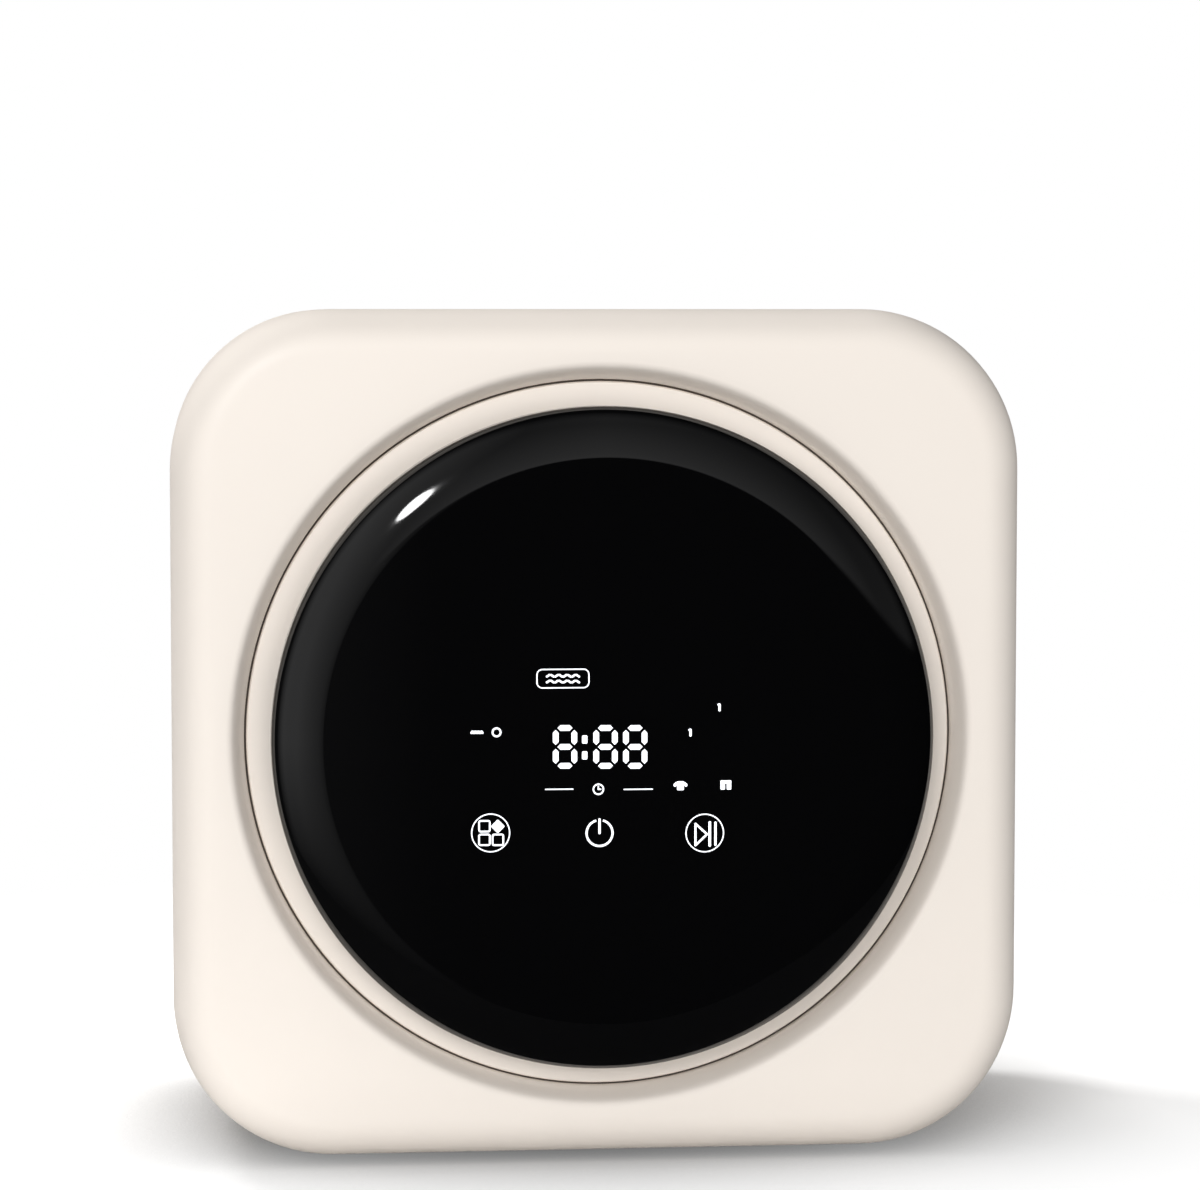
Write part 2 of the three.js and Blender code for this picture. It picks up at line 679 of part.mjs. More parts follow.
function rearFrame() {
  const shape = new THREE.Shape();
  const h = FRAME_HALF;
  const c = FRAME_HALF / 5;
  shape.moveTo(-h + c, -h);
  shape.lineTo(h - c, -h);
  shape.absarc(h - c, -h + c, c, -90 * DEG, 0);
  shape.lineTo(h, h - c);
  shape.absarc(h - c, h - c, c, 0, 90 * DEG);
  shape.lineTo(-h + c, h);
  shape.absarc(-h + c, h - c, c, 90 * DEG, 180 * DEG);
  shape.lineTo(-h, -h + c);
  shape.absarc(-h + c, -h + c, c, 180 * DEG, 270 * DEG);
  const hole = new THREE.Path();
  hole.absarc(0, 0, FRAME_HOLE_R, 0, 2 * Math.PI, true);
  shape.holes.push(hole);
  const posts = [45, 135, 225, 315].map((angle) => {
    const spot = polar(TUB_POST_AT, angle, 0);
    return turned([
      [0, FRAME_D + FRAME_T / 2],
      [TUB_POST_R, FRAME_D + FRAME_T / 2],
      [TUB_POST_R, TUB_BACK_D - CLEAR],
      [0, TUB_BACK_D - CLEAR],
    ], SHAFT_SIDES, spot.x, spot.z);
  });
  const sheet = plate(shape, FRAME_D, FRAME_D + FRAME_T, 4);
  return cut(join(sheet, ...posts), ...hookSlots(FRAME_D - 1, FRAME_D + FRAME_T + 1, 0));
}

// ---- tub ----
function spigotSpots() {
  return { fill: { angle: FILL_ANGLE, d: FILL_D }, sump: { angle: SUMP_ANGLE, d: SUMP_D } };
}

function tubSpigot({ angle, d }, radius) {
  return stub(radius, polar(TUB_R - TUB_WALL / 2, angle, d), polar(TUB_R + SPIGOT_LEN, angle, d), SHAFT_SIDES);
}

function tubRear() {
  const inner = TUB_R - TUB_WALL;
  const bore = BEARING_R + CLEAR;
  const shoulder = HUB_BACK_D + CLEAR + BEARING_T + CLEAR;
  const cup = turned([
    [bore, HUB_BACK_D],
    [HUB_R, HUB_BACK_D],
    [HUB_R + 2, TUB_BACK_D],
    [TUB_R - TUB_WALL, TUB_BACK_D],
    [TUB_R, TUB_IN_D],
    [TUB_R, TUB_SPLIT_D - TUB_FLANGE_T],
    [TUB_R + TUB_FLANGE, TUB_SPLIT_D - TUB_FLANGE_T],
    [TUB_R + TUB_FLANGE, TUB_SPLIT_D],
    [inner, TUB_SPLIT_D],
    [inner, TUB_IN_D + TUB_WALL],
    [inner - TUB_WALL, TUB_IN_D],
    [HUB_R, TUB_IN_D],
    [HUB_R - 2, TUB_IN_D + 2],
    [bore, TUB_IN_D + 2],
    [bore, shoulder + BEARING_SHOULDER],
    [bore - 4, shoulder + BEARING_SHOULDER],
    [bore - 4, shoulder],
    [bore, shoulder],
  ], TUB_SIDES);
  const at = MOTOR_AT / Math.SQRT2;
  const lug = new THREE.Shape();
  const span = MOTOR_R - 2;
  const side = 45 * DEG;
  lug.moveTo(TUB_R * 0.5, -TUB_R * 0.78);
  lug.absarc(at, -at, span, -180 * DEG + side, side);
  lug.lineTo(TUB_R * 0.78, -TUB_R * 0.5);
  const nose = bar(MOTOR_PULLEY_R * 1.6, TUB_BACK_D - 1, TUB_IN_D + 1, SHAFT_SIDES, at, -at);
  const { fill, sump } = spigotSpots();
  const solid = join(cup, plate(lug, TUB_BACK_D, TUB_IN_D), tubSpigot(fill, FILL_SPIGOT_R), tubSpigot(sump, SUMP_SPIGOT_R));
  return cut(solid, nose);
}

function tubFront() {
  const d0 = TUB_SPLIT_D + CLEAR;
  return geometryOf(solidOf(turned([
    [TUB_R - TUB_WALL, d0],
    [TUB_R + TUB_FLANGE, d0],
    [TUB_R + TUB_FLANGE, d0 + TUB_FLANGE_T],
    [TUB_R, d0 + TUB_FLANGE_T],
    [TUB_R, TUB_FRONT_D - 6],
    [TUB_R - 6, TUB_FRONT_D],
    [NECK_R, TUB_FRONT_D],
    [NECK_R, TUB_FRONT_D + NECK_LEN],
    [NECK_R - TUB_WALL, TUB_FRONT_D + NECK_LEN],
    [NECK_R - TUB_WALL, TUB_FRONT_D - TUB_WALL],
    [TUB_R - 6 - TUB_WALL / 2, TUB_FRONT_D - TUB_WALL],
    [TUB_R - TUB_WALL, TUB_FRONT_D - 6 - TUB_WALL / 2],
  ], TUB_SIDES)));
}

function doorGasket() {
  const neck = NECK_R + 1.4 * CLEAR;
  const t = GASKET_T;
  const hole = PANEL_HOLE_R - 1.4 * CLEAR;
  const neckEnd = TUB_FRONT_D + NECK_LEN + CLEAR;
  const seat = FLOOR_D + CLEAR;
  return geometryOf(solidOf(turned([
    [GASKET_FLANGE_R, seat],
    [hole, seat],
    [hole, seat - 7],
    [hole - t, seat - 14],
    [hole + 2, neckEnd + t + 1],
    [neck + t, neckEnd + t],
    [neck + t, TUB_FRONT_D + 1],
    [neck, TUB_FRONT_D + 1],
    [neck, neckEnd],
    [hole - 1, neckEnd],
    [hole - 2 * t, seat - 14.5],
    [hole - 1.3 * t, seat - 5],
    [MOUTH_R, seat - 2.5],
    [MOUTH_R + 1, seat + 0.8],
    [GASKET_FLANGE_R - t, seat + t],
    [GASKET_FLANGE_R, seat + t - 1],
  ], RING_SIDES)));
}

function gasketClamp() {
  const r = NECK_R + 1.4 * CLEAR + GASKET_T + 1.2 * CLEAR;
  const band = turned([[r, TUB_FRONT_D + 3], [r + 2, TUB_FRONT_D + 3], [r + 2, TUB_FRONT_D + 8],
    [r, TUB_FRONT_D + 8]], RING_SIDES);
  return join(band, block(-5, 5, -r - 9, -r - 1, TUB_FRONT_D + 3, TUB_FRONT_D + 8));
}

// ---- drum ----
function drumScrewSpots() {
  return Array.from({ length: ARMS }, (_, k) => polar(DRUM_SCREW_AT, 90 + (360 / ARMS) * k, 0));
}

function drumHoles(d0, d1) {
  return drumScrewSpots().map(({ x, z }) => bar(DRUM_SCREW_R + CLEAR, d0, d1, SCREW_SIDES, x, z));
}

// Rows of small holes through the drum wall, in a field between each two lifters.
function waterHoles() {
  const length = DRUM_FRONT_D - DRUM_BACK_D - 2 * (DRUM_ROUND + LIFTER_MARGIN);
  const holes = [];
  for (let field = 0; field < ARMS; field++) {
    for (let row = 0; row < WATER_ROWS; row++) {
      const d = DRUM_BACK_D + DRUM_ROUND + LIFTER_MARGIN + (length * row) / (WATER_ROWS - 1);
      for (let column = 0; column < WATER_COLUMNS; column++) {
        const angle = 90 + (360 / ARMS) * field + WATER_SPREAD * (column / (WATER_COLUMNS - 1) - 0.5);
        holes.push(stub(
          WATER_HOLE_R, polar(DRUM_R - 4 * DRUM_WALL, angle, d), polar(DRUM_R + 2 * DRUM_WALL, angle, d),
          SCREW_SIDES));
      }
    }
  }
  return holes;
}

function drumShell() {
  const inner = DRUM_R - DRUM_WALL;
  const shell = turned([
    [0, DRUM_BACK_D],
    [DRUM_R - DRUM_ROUND, DRUM_BACK_D],
    [DRUM_R, DRUM_BACK_D + DRUM_ROUND],
    [DRUM_R, DRUM_FRONT_D - DRUM_ROUND],
    [DRUM_R - DRUM_ROUND / 2, DRUM_FRONT_D],
    [DRUM_MOUTH_R, DRUM_FRONT_D],
    [DRUM_MOUTH_R, DRUM_FRONT_D - DRUM_WALL],
    [inner - DRUM_ROUND / 2, DRUM_FRONT_D - DRUM_WALL],
    [inner, DRUM_FRONT_D - DRUM_ROUND],
    [inner, DRUM_BACK_D + DRUM_ROUND],
    [inner - DRUM_ROUND, DRUM_BACK_D + DRUM_WALL],
    [0, DRUM_BACK_D + DRUM_WALL],
  ], TUB_SIDES);
  return cut(shell, ...drumHoles(DRUM_BACK_D - 1, DRUM_BACK_D + DRUM_WALL + 1), ...waterHoles());
}

function spiderPlate() {
  const shape = new THREE.Shape();
  for (let k = 0; k <= ARMS; k++) {
    const angle = 90 + (360 / ARMS) * k;
    const end = new THREE.Vector2(SPIDER_ARM_R, 0).rotateAround(new THREE.Vector2(), angle * DEG);
    const start = end.clone().add(new THREE.Vector2(SPIDER_ARM_HALF, 0)
      .rotateAround(new THREE.Vector2(), (angle - 90) * DEG));
    const waist = new THREE.Vector2(SPIDER_WAIST, 0)
      .rotateAround(new THREE.Vector2(), (angle - 180 / ARMS) * DEG);
    if (k > 0) shape.quadraticCurveTo(waist.x, waist.y, start.x, start.y);
    else shape.moveTo(start.x, start.y);
    if (k < ARMS) shape.absarc(end.x, end.y, SPIDER_ARM_HALF, (angle - 90) * DEG, (angle + 90) * DEG);
  }
  return cut(plate(shape, SPIDER_D, SPIDER_D + SPIDER_T, 6), ...drumHoles(SPIDER_D - 1, SPIDER_D + SPIDER_T + 1));
}

function lifter() {
  const foot = (DRUM_R - DRUM_WALL) * Math.cos(Math.PI / TUB_SIDES) - CLEAR;
  const half = Math.asin(LIFTER_HALF / foot);
  const shape = new THREE.Shape();
  const low = 270 * DEG;
  const top = -(foot - LIFTER_H);
  const edge = -foot * Math.cos(half);
  shape.absarc(0, 0, foot, low - half, low + half);
  shape.bezierCurveTo(LIFTER_HALF * 0.5, edge + 2, LIFTER_HALF * 0.55, top, 0, top);
  shape.bezierCurveTo(-LIFTER_HALF * 0.55, top, -LIFTER_HALF * 0.5, edge + 2, -LIFTER_HALF, edge);
  return geometryOf(solidOf(
    plate(shape, DRUM_BACK_D + LIFTER_MARGIN, DRUM_FRONT_D - LIFTER_MARGIN, 5)));
}

function drumShaft() {
  const face = DRUM_BACK_D - CLEAR;
  const nut = PULLEY_D - CLEAR;
  const shaft = turned([
    [0, nut - NUT_T],
    [NUT_R, nut - NUT_T],
    [NUT_R, nut],
    [SHAFT_R, nut],
    [SHAFT_R, face - FLANGE_T],
    [FLANGE_R, face - FLANGE_T],
    [FLANGE_R, face],
    [0, face],
  ], SHAFT_SIDES);
  return cut(shaft, ...drumHoles(face - 2 * FLANGE_T, face + 1));
}

function sleeve(inner, outer, d0, d1, x = 0, z = 0) {
  return geometryOf(solidOf(
    turned([[inner, d0], [outer, d0], [outer, d1], [inner, d1]], SHAFT_SIDES, x, z)));
}

function drumPulley() {
  const rimIn = PULLEY_R - PULLEY_RIM;
  const d1 = PULLEY_D + PULLEY_W;
  const web = PULLEY_D + PULLEY_W / 2;
  const wheel = turned([
    [SHAFT_R + CLEAR, PULLEY_D],
    [PULLEY_R, PULLEY_D],
    [PULLEY_R, d1],
    [rimIn, d1],
    [rimIn, web],
    [PULLEY_HUB_R, web],
    [PULLEY_HUB_R, d1],
    [SHAFT_R + CLEAR, d1],
  ], TUB_SIDES);
  const step = (360 / PULLEY_SPOKES) * DEG;
  const windows = Array.from({ length: PULLEY_SPOKES }, (_, k) => {
    const shape = new THREE.Shape();
    shape.absarc(0, 0, rimIn - 3, (k + 0.15) * step, (k + 0.85) * step);
    shape.absarc(0, 0, PULLEY_HUB_R * 1.6, (k + 0.7) * step, (k + 0.3) * step, true);
    return plate(shape, PULLEY_D - 1, web + 1, 2);
  });
  return cut(wheel, ...windows);
}

function motorPulley() {
  const at = MOTOR_AT / Math.SQRT2;
  const r = MOTOR_PULLEY_R;
  return geometryOf(solidOf(turned([
    [0, PULLEY_D],
    [r + 2, PULLEY_D],
    [r + 2, PULLEY_D + 1],
    [r, PULLEY_D + 1],
    [r, PULLEY_D + PULLEY_W - 1],
    [r + 2, PULLEY_D + PULLEY_W - 1],
    [r + 2, PULLEY_D + PULLEY_W],
    [MOTOR_SHAFT_R, PULLEY_D + PULLEY_W],
    [MOTOR_SHAFT_R, MOTOR_D + 20 - CLEAR],
    [0, MOTOR_D + 20 - CLEAR],
  ], SHAFT_SIDES, at, -at)));
}

function driveMotor() {
  const at = MOTOR_AT / Math.SQRT2;
  const end = MOTOR_D + MOTOR_LEN;
  const bore = MOTOR_SHAFT_R + CLEAR;
  return geometryOf(solidOf(turned([
    [bore, MOTOR_D],
    [MOTOR_R - 6, MOTOR_D],
    [MOTOR_R, MOTOR_D + 6],
    [MOTOR_R, end - 6],
    [MOTOR_R - 6, end],
    [0, end],
    [0, MOTOR_D + 20],
    [bore, MOTOR_D + 20],
  ], TUB_SIDES / 2, at, -at)));
}

// The belt's outline at a distance outside the two pulleys, drawn with the motor on +X and then turned to it.
function beltLoop(grow, target) {
  const big = PULLEY_R + 2 * CLEAR + grow;
  const small = MOTOR_PULLEY_R + 2 * CLEAR + grow;
  const lean = Math.acos((big - small) / MOTOR_AT);
  const turn = -45 * DEG;
  const x = MOTOR_AT * Math.cos(turn);
  const z = MOTOR_AT * Math.sin(turn);
  target.absarc(0, 0, big, turn + lean, turn + 2 * Math.PI - lean);
  target.absarc(x, z, small, turn - lean, turn + lean);
  target.closePath();
  return target;
}

function driveBelt() {
  const shape = beltLoop(BELT_T, new THREE.Shape());
  shape.holes.push(beltLoop(0, new THREE.Path()));
  const d0 = PULLEY_D + (PULLEY_W - BELT_W) / 2;
  return geometryOf(solidOf(plate(shape, d0, d0 + BELT_W, 9)));
}

// ---- water and electrics ----
function inletValve() {
  const seat = SERVICE_D + SERVICE_WALL + CLEAR;
  return geometryOf(solidOf(turned([
    [0, seat - 8],
    [INLET_R - 3.5, seat - 8],
    [INLET_R - 3.5, PORT_D],
    [INLET_R, PORT_D],
    [INLET_R, seat],
    [INLET_R + 6, seat],
    [INLET_R + 6, seat + 4],
    [INLET_R + 2.5, seat + 4],
    [INLET_R + 2.5, seat + VALVE_LEN],
    [VALVE_OUTLET_R, seat + VALVE_LEN],
    [VALVE_OUTLET_R, seat + VALVE_LEN + VALVE_OUTLET_LEN],
    [0, seat + VALVE_LEN + VALVE_OUTLET_LEN],
  ], SHAFT_SIDES, SERVICE_AT, SERVICE_AT)));
}

function fillHose() {
  const outlet = SERVICE_D + SERVICE_WALL + CLEAR + VALVE_LEN + VALVE_OUTLET_LEN + CLEAR;
  const start = SERVICE_AT * Math.SQRT2;
  const { angle, d } = spigotSpots().fill;
  const end = TUB_R + SPIGOT_LEN + CLEAR;
  return geometryOf(solidOf(hose([
    polar(start, angle, outlet),
    polar(start, angle, outlet + HOSE_R),
    polar(start - 0.4 * HOSE_R, angle, d - 0.9 * HOSE_R),
    polar(start - 1.2 * HOSE_R, angle, d - 0.1 * HOSE_R),
    polar(end + 1.5 * HOSE_R, angle, d),
    polar(end, angle, d),
  ], HOSE_R, 12)));
}

function pumpInlet() {
  const centre = new THREE.Vector3(-SERVICE_AT, -spigotSpots().sump.d, -SERVICE_AT);
  const toward = new THREE.Vector3(0.83, 0, -0.56).normalize();
  return { centre, toward };
}

function drainPump() {
  const seat = SERVICE_D + SERVICE_WALL + CLEAR;
  const { centre, toward } = pumpInlet();
  const body = turned([
    [0, seat - 8],
    [DRAIN_R - 2.5, seat - 8],
    [DRAIN_R - 2.5, PORT_D],
    [DRAIN_R, PORT_D],
    [DRAIN_R, seat],
    [DRAIN_R + 5, seat],
    [DRAIN_R + 5, seat + 4],
    [DRAIN_R, seat + 4],
    [DRAIN_R, seat + 14],
    [PUMP_R, seat + PUMP_D],
    [PUMP_R, seat + PUMP_D + PUMP_LEN],
    [PUMP_MOTOR_R, seat + PUMP_D + PUMP_LEN + 4],
    [PUMP_MOTOR_R, seat + PUMP_D + PUMP_LEN + PUMP_MOTOR_LEN],
    [0, seat + PUMP_D + PUMP_LEN + PUMP_MOTOR_LEN],
  ], SHAFT_SIDES, -SERVICE_AT, -SERVICE_AT);
  const inlet = stub(HOSE_R, centre, centre.clone().addScaledVector(toward, PUMP_INLET_LEN), SHAFT_SIDES);
  return join(body, inlet);
}

function sumpHose() {
  const { angle, d } = spigotSpots().sump;
  const { centre, toward } = pumpInlet();
  return geometryOf(solidOf(hose([
    polar(TUB_R + SPIGOT_LEN + CLEAR, angle, d),
    polar(TUB_R + SPIGOT_LEN + 6, angle, d),
    polar(TUB_R + SPIGOT_LEN + 23, angle - 2, d),
    polar(TUB_R + SPIGOT_LEN + 32, angle - 8, d),
    centre.clone().addScaledVector(toward, PUMP_INLET_LEN + 9),
    centre.clone().addScaledVector(toward, PUMP_INLET_LEN + CLEAR),
  ], HOSE_R, 14)));
}

// A place in the upper left corner, by its distance from the drum axis and its offset across the diagonal.
function boardSpot(across, out) {
  const diagonal = 1 / Math.SQRT2;
  return { x: (-out + across) * diagonal, z: (out + across) * diagonal };
}

function controlBoard() {
  const tray = new THREE.BoxGeometry(2 * CONTROL_HALF_W, CONTROL_LEN, 2 * CONTROL_HALF_T);
  const lid = new THREE.BoxGeometry(2 * CONTROL_HALF_W - 12, CONTROL_LEN - 12, 2 * CONTROL_HALF_T);
  lid.translate(0, 0, -4);
  const box = join(tray, lid);
  box.rotateY(-45 * DEG);
  const spot = boardSpot(0, CONTROL_AT);
  box.translate(spot.x, -(CONTROL_D + CONTROL_LEN / 2), spot.z);
  return box;
}

function cordGland() {
  const x = GLAND_STEP - SERVICE_AT;
  const floor = SERVICE_D - CLEAR;
  return geometryOf(solidOf(turned([
    [0, PORT_D + 8],
    [2, PORT_D + 8],
    [2, PORT_D + 2],
    [GLAND_R - 1, PORT_D + 2],
    [GLAND_R, PORT_D + 8],
    [2 * GLAND_R, floor - 4],
    [2 * GLAND_R, floor],
    [GLAND_R, floor],
    [GLAND_R, floor + SERVICE_WALL + 4],
    [0, floor + SERVICE_WALL + 4],
  ], SHAFT_SIDES, x, -SERVICE_AT)));
}

function doorLock() {
  const top = FLOOR_D - PANEL_WALL - CLEAR;
  const x0 = STRIKE_X - 15;
  const x1 = STRIKE_X + 19;
  const body = block(x0, x1, -LOCK_HALF_H, LOCK_HALF_H, top - LOCK_DEEP, top);
  const bezel = block(
    STRIKE_X - BEZEL_W / 2, STRIKE_X + BEZEL_W / 2, -BEZEL_H / 2, BEZEL_H / 2, top - 1, FLOOR_D + 1);
  const slot = block(
    STRIKE_X - STRIKE_W / 2, STRIKE_X + STRIKE_W / 2,
    -STRIKE_H / 2, STRIKE_H / 2, FLOOR_D - TONGUE_IN - 5, FLOOR_D + 2);
  return cut(join(body, bezel), slot);
}

// ---- hinge ----
function hingeScrewSpots() {
  const left = HINGE_X + 9;
  return [left, left + HINGE_SCREW_STEP].flatMap((x) => [-HINGE_SCREW_Z, HINGE_SCREW_Z].map((z) => ({ x, z })));
}

function hingeBracket() {
  const d0 = FLOOR_D + CLEAR;
  const d1 = d0 + HINGE_PLATE_T;
  const x0 = HINGE_X + 6;
  const pinHoleR = PIN_R + CLEAR;
  const base = block(x0, x0 + HINGE_PLATE_W, -HINGE_PLATE_HALF, HINGE_PLATE_HALF, d0, d1);
  const ring = bar(GASKET_FLANGE_R + 2, d0 - 1, d1 + 1, RING_SIDES);
  const footLeft = [HINGE_X + 10.5, d1 - 1];
  const footRight = [HINGE_X + 23, d1 - 1];
  const lean = Math.atan2(d1 - HINGE_D, footLeft[0] + 5.6 - HINGE_X);
  const outline = [footRight];
  for (let step = 0; step <= 6; step++) {
    const angle = lean + 90 * DEG + (180 * DEG * step) / 6;
    outline.push([HINGE_X + KNUCKLE_R * Math.cos(angle), HINGE_D + KNUCKLE_R * Math.sin(angle)]);
  }
  outline.push(footLeft);
  const near = BARREL_HALF + CLEAR;
  const ears = [slice(outline, near, near + EAR_T), slice(outline, -near - EAR_T, -near)];
  const pin = upright(pinHoleR, HINGE_X, HINGE_D, -2 * near, 2 * near, SHAFT_SIDES);
  const holes = hingeScrewSpots().map(({ x, z }) => bar(SCREW_R + CLEAR, d0 - 1, d1 + 1, SCREW_SIDES, x, z));
  return cut(join(cut(base, ring, ...holes), ...ears), pin);
}

function hingeArm() {
  const seat = INNER_BACK_D + PANEL_WALL + CLEAR;
  const reach = HINGE_X + ARM_REACH;
  const barrel = upright(KNUCKLE_R + 0.5, HINGE_X, HINGE_D, -BARREL_HALF, BARREL_HALF, SHAFT_SIDES);
  const web = slice([
    [HINGE_X, HINGE_D + KNUCKLE_R - 1],
    [HINGE_X, HINGE_D - KNUCKLE_R + 1],
    [HINGE_X + 12, seat],
    [reach - 8, seat],
    [reach - 8, seat + ARM_T],
    [HINGE_X + 14, seat + ARM_T],
  ], -BARREL_HALF, BARREL_HALF);
  const pad = block(reach - ARM_PAD_W, reach, -ARM_HALF, ARM_HALF, seat, seat + ARM_T);
  const pin = upright(PIN_R + CLEAR, HINGE_X, HINGE_D, -2 * BARREL_HALF, 2 * BARREL_HALF, SHAFT_SIDES);
  const relief = upright(KNUCKLE_R + 2, HINGE_X, HINGE_D, -BARREL_HALF / 3, BARREL_HALF / 3, SHAFT_SIDES);
  return cut(join(barrel, web, pad), pin, relief);
}

// ---- door ----
function doorScrewSpots() {
  return [38, 90, 142, 218, 270, 322].map((angle) => polar(DOOR_SCREW_AT, angle, 0));
}

// The door's outside from the shoulder to the crown, pulled in by a wall thickness.
function doorFace(wall, steps) {
  const row = [];
  for (let step = 0; step <= steps; step++) {
    const angle = (90 * DEG * step) / steps;
    row.push([
      DOOR_R - DOOR_SHOULDER_IN + (DOOR_SHOULDER_IN - wall) * Math.cos(angle),
      DOOR_SIDE_D + (DOOR_SHOULDER_UP - wall) * Math.sin(angle),
    ]);
  }
  row.push([DOOR_R / 2, DOOR_APEX_D - 0.3 * DOOR_CROWN - wall]);
  row.push([0, DOOR_APEX_D - wall]);
  return row;
}

function boardPosts() {
  const x = BOARD_HALF_W - 5;
  const z = BOARD_HALF_H - 5;
  return [[x, BOARD_Z + z], [-x, BOARD_Z + z], [-x, BOARD_Z - z], [x, BOARD_Z - z]];
}

function doorPanel() {
  const shell = turned([
    [DOOR_R, DOOR_BACK_D],
    ...doorFace(0, 5),
    ...doorFace(DOOR_WALL, 2).reverse(),
    [DOOR_R - DOOR_WALL, DOOR_BACK_D],
  ], RING_SIDES);
  const postD = INNER_BACK_D + PANEL_WALL + CLEAR;
  const posts = doorScrewSpots().map(({ x, z }) =>
    bar(4, postD, DOOR_EDGE_D - 0.6 * DOOR_WALL, SCREW_SIDES, x, z));
  const pilots = doorScrewSpots().map(({ x, z }) =>
    bar(DOOR_SCREW_R + CLEAR, postD - 1, postD + 12, SCREW_SIDES, x, z));
  const stands = boardPosts().map(([x, z]) =>
    bar(3, BOARD_D + CLEAR, DOOR_APEX_D - 0.3 * DOOR_CROWN - DOOR_WALL / 2, SCREW_SIDES, x, z));
  const near = BARREL_HALF - 1;
  const far = BARREL_HALF + EAR_T + 1.5;
  const slotTop = DOOR_SIDE_D + CLEAR;
  const slots = [[near, far], [-far, -near]].map(([z0, z1]) =>
    block(-DOOR_R - 1, HINGE_X, z0, z1, DOOR_BACK_D - 1, slotTop));
  return cut(join(shell, ...posts, ...stands), ...pilots, ...slots);
}

function doorFrame() {
  const t = PANEL_WALL;
  const flangeR = DOOR_R - DOOR_WALL - CLEAR;
  const opening = MOUTH_R + 3;
  const slope = DOOR_SCREW_AT + 6;
  const ring = turned([
    [flangeR, DOOR_BACK_D],
    [slope + FRAME_SLOPE, DOOR_BACK_D],
    [slope, INNER_BACK_D],
    [RING_R + 1.5, INNER_BACK_D],
    [RING_R, RING_D],
    [opening, RING_D],
    [opening, RING_D + t],
    [RING_R - 1.5, RING_D + t],
    [RING_R, INNER_BACK_D + t],
    [slope - 1.3, INNER_BACK_D + t],
    [slope + FRAME_SLOPE - 1.3, DOOR_BACK_D + t],
    [flangeR, DOOR_BACK_D + t],
  ], RING_SIDES);
  const lugs = [-1, 1].map((side) => {
    const z0 = GRIP_HALF + 1;
    const z = [side * z0, side * (z0 + 5)].sort((a, b) => a - b);
    return block(LATCH_X - 5, LATCH_X + 4, z[0], z[1], INNER_BACK_D + 0.5, LATCH_D + 4);
  });
  const holes = doorScrewSpots().map(({ x, z }) =>
    bar(DOOR_SCREW_R + CLEAR, INNER_BACK_D - 1, INNER_BACK_D + t + 1, SCREW_SIDES, x, z));
  const pinHole = upright(LATCH_PIN_R + CLEAR, LATCH_X, LATCH_D, -DOOR_R / 2, DOOR_R / 2, SCREW_SIDES);
  const notch = BARREL_HALF + EAR_T + 2;
  const far = 2 * DOOR_BACK_D;
  const body = cut(
    ring,
    ...holes,
    block(LATCH_X - LATCH_HUB_R - 1, DOOR_R, -GRIP_HALF - 1, GRIP_HALF + 1, 0, far),
    block(STRIKE_X - HOOK_ROOM - 2, LATCH_X, -TONGUE_HALF - 3, TONGUE_HALF + 3, 0, far),
    block(-DOOR_R, HINGE_X + ARM_NOTCH, -notch, notch, 0, far),
  );
  return cut(join(body, ...lugs), pinHole);
}

// A bowl whose flank stands nearly upright and whose end is rounded.
function bowl(radius, deep, d0, steps) {
  const row = [];
  for (let step = 0; step <= steps; step++) {
    const angle = (90 * DEG * step) / steps;
    row.push([radius * Math.cos(angle) ** 0.7, d0 - deep * Math.sin(angle) ** 1.2]);
  }
  return row;
}

function doorDome() {
  const seat = RING_D + PANEL_WALL + CLEAR;
  const t = PANEL_WALL;
  return geometryOf(solidOf(turned([
    [DOME_FLANGE_R, seat + t],
    [DOME_FLANGE_R, seat],
    ...bowl(DOME_R, DOME_DEEP, seat, 5),
    ...bowl(DOME_R - t, DOME_DEEP - 2 * t, seat + t, 4).reverse(),
  ], RING_SIDES)));
}

function displayBoard() {
  const z0 = BOARD_Z - BOARD_HALF_H;
  const z1 = BOARD_Z + BOARD_HALF_H;
  const sheet = block(-BOARD_HALF_W, BOARD_HALF_W, z0, z1, BOARD_D - BOARD_T, BOARD_D);
  const lights = block(12 - BOARD_HALF_W, BOARD_HALF_W - 12, z0 + 8, z1 - 8, BOARD_D - 1, BOARD_D + 8);
  return join(sheet, lights);
}

// ---- latch ----
function latchLever() {
  const x0 = LATCH_X - LATCH_HUB_R;
  const back = LATCH_D - LATCH_HUB_R;
  const hub = upright(LATCH_HUB_R, LATCH_X, LATCH_D, -GRIP_HALF, GRIP_HALF, SHAFT_SIDES);
  const grip = block(x0, LATCH_X + GRIP_OUT, -GRIP_HALF, GRIP_HALF, back, back + GRIP_T);
  const trim = bar(DOOR_R - DOOR_WALL - 2, 0, DOOR_APEX_D, 2 * RING_SIDES);
  const tongueX = STRIKE_X - STRIKE_W / 2 + 0.8;
  const arm = block(tongueX, LATCH_X, -TONGUE_HALF, TONGUE_HALF, back, back + GRIP_T);
  const tongue = slice([
    [tongueX, back + 1],
    [tongueX, FLOOR_D - TONGUE_IN + 2],
    [tongueX + 2, FLOOR_D - TONGUE_IN],
    [tongueX + TONGUE_T, FLOOR_D - TONGUE_IN + 1],
    [tongueX + TONGUE_T, back + 1],
  ], -TONGUE_HALF, TONGUE_HALF);
  const pin = upright(LATCH_PIN_R + CLEAR, LATCH_X, LATCH_D, -DOOR_R / 2, DOOR_R / 2, SCREW_SIDES);
  return cut(join(common(join(hub, grip), trim), arm, tongue), pin);
}

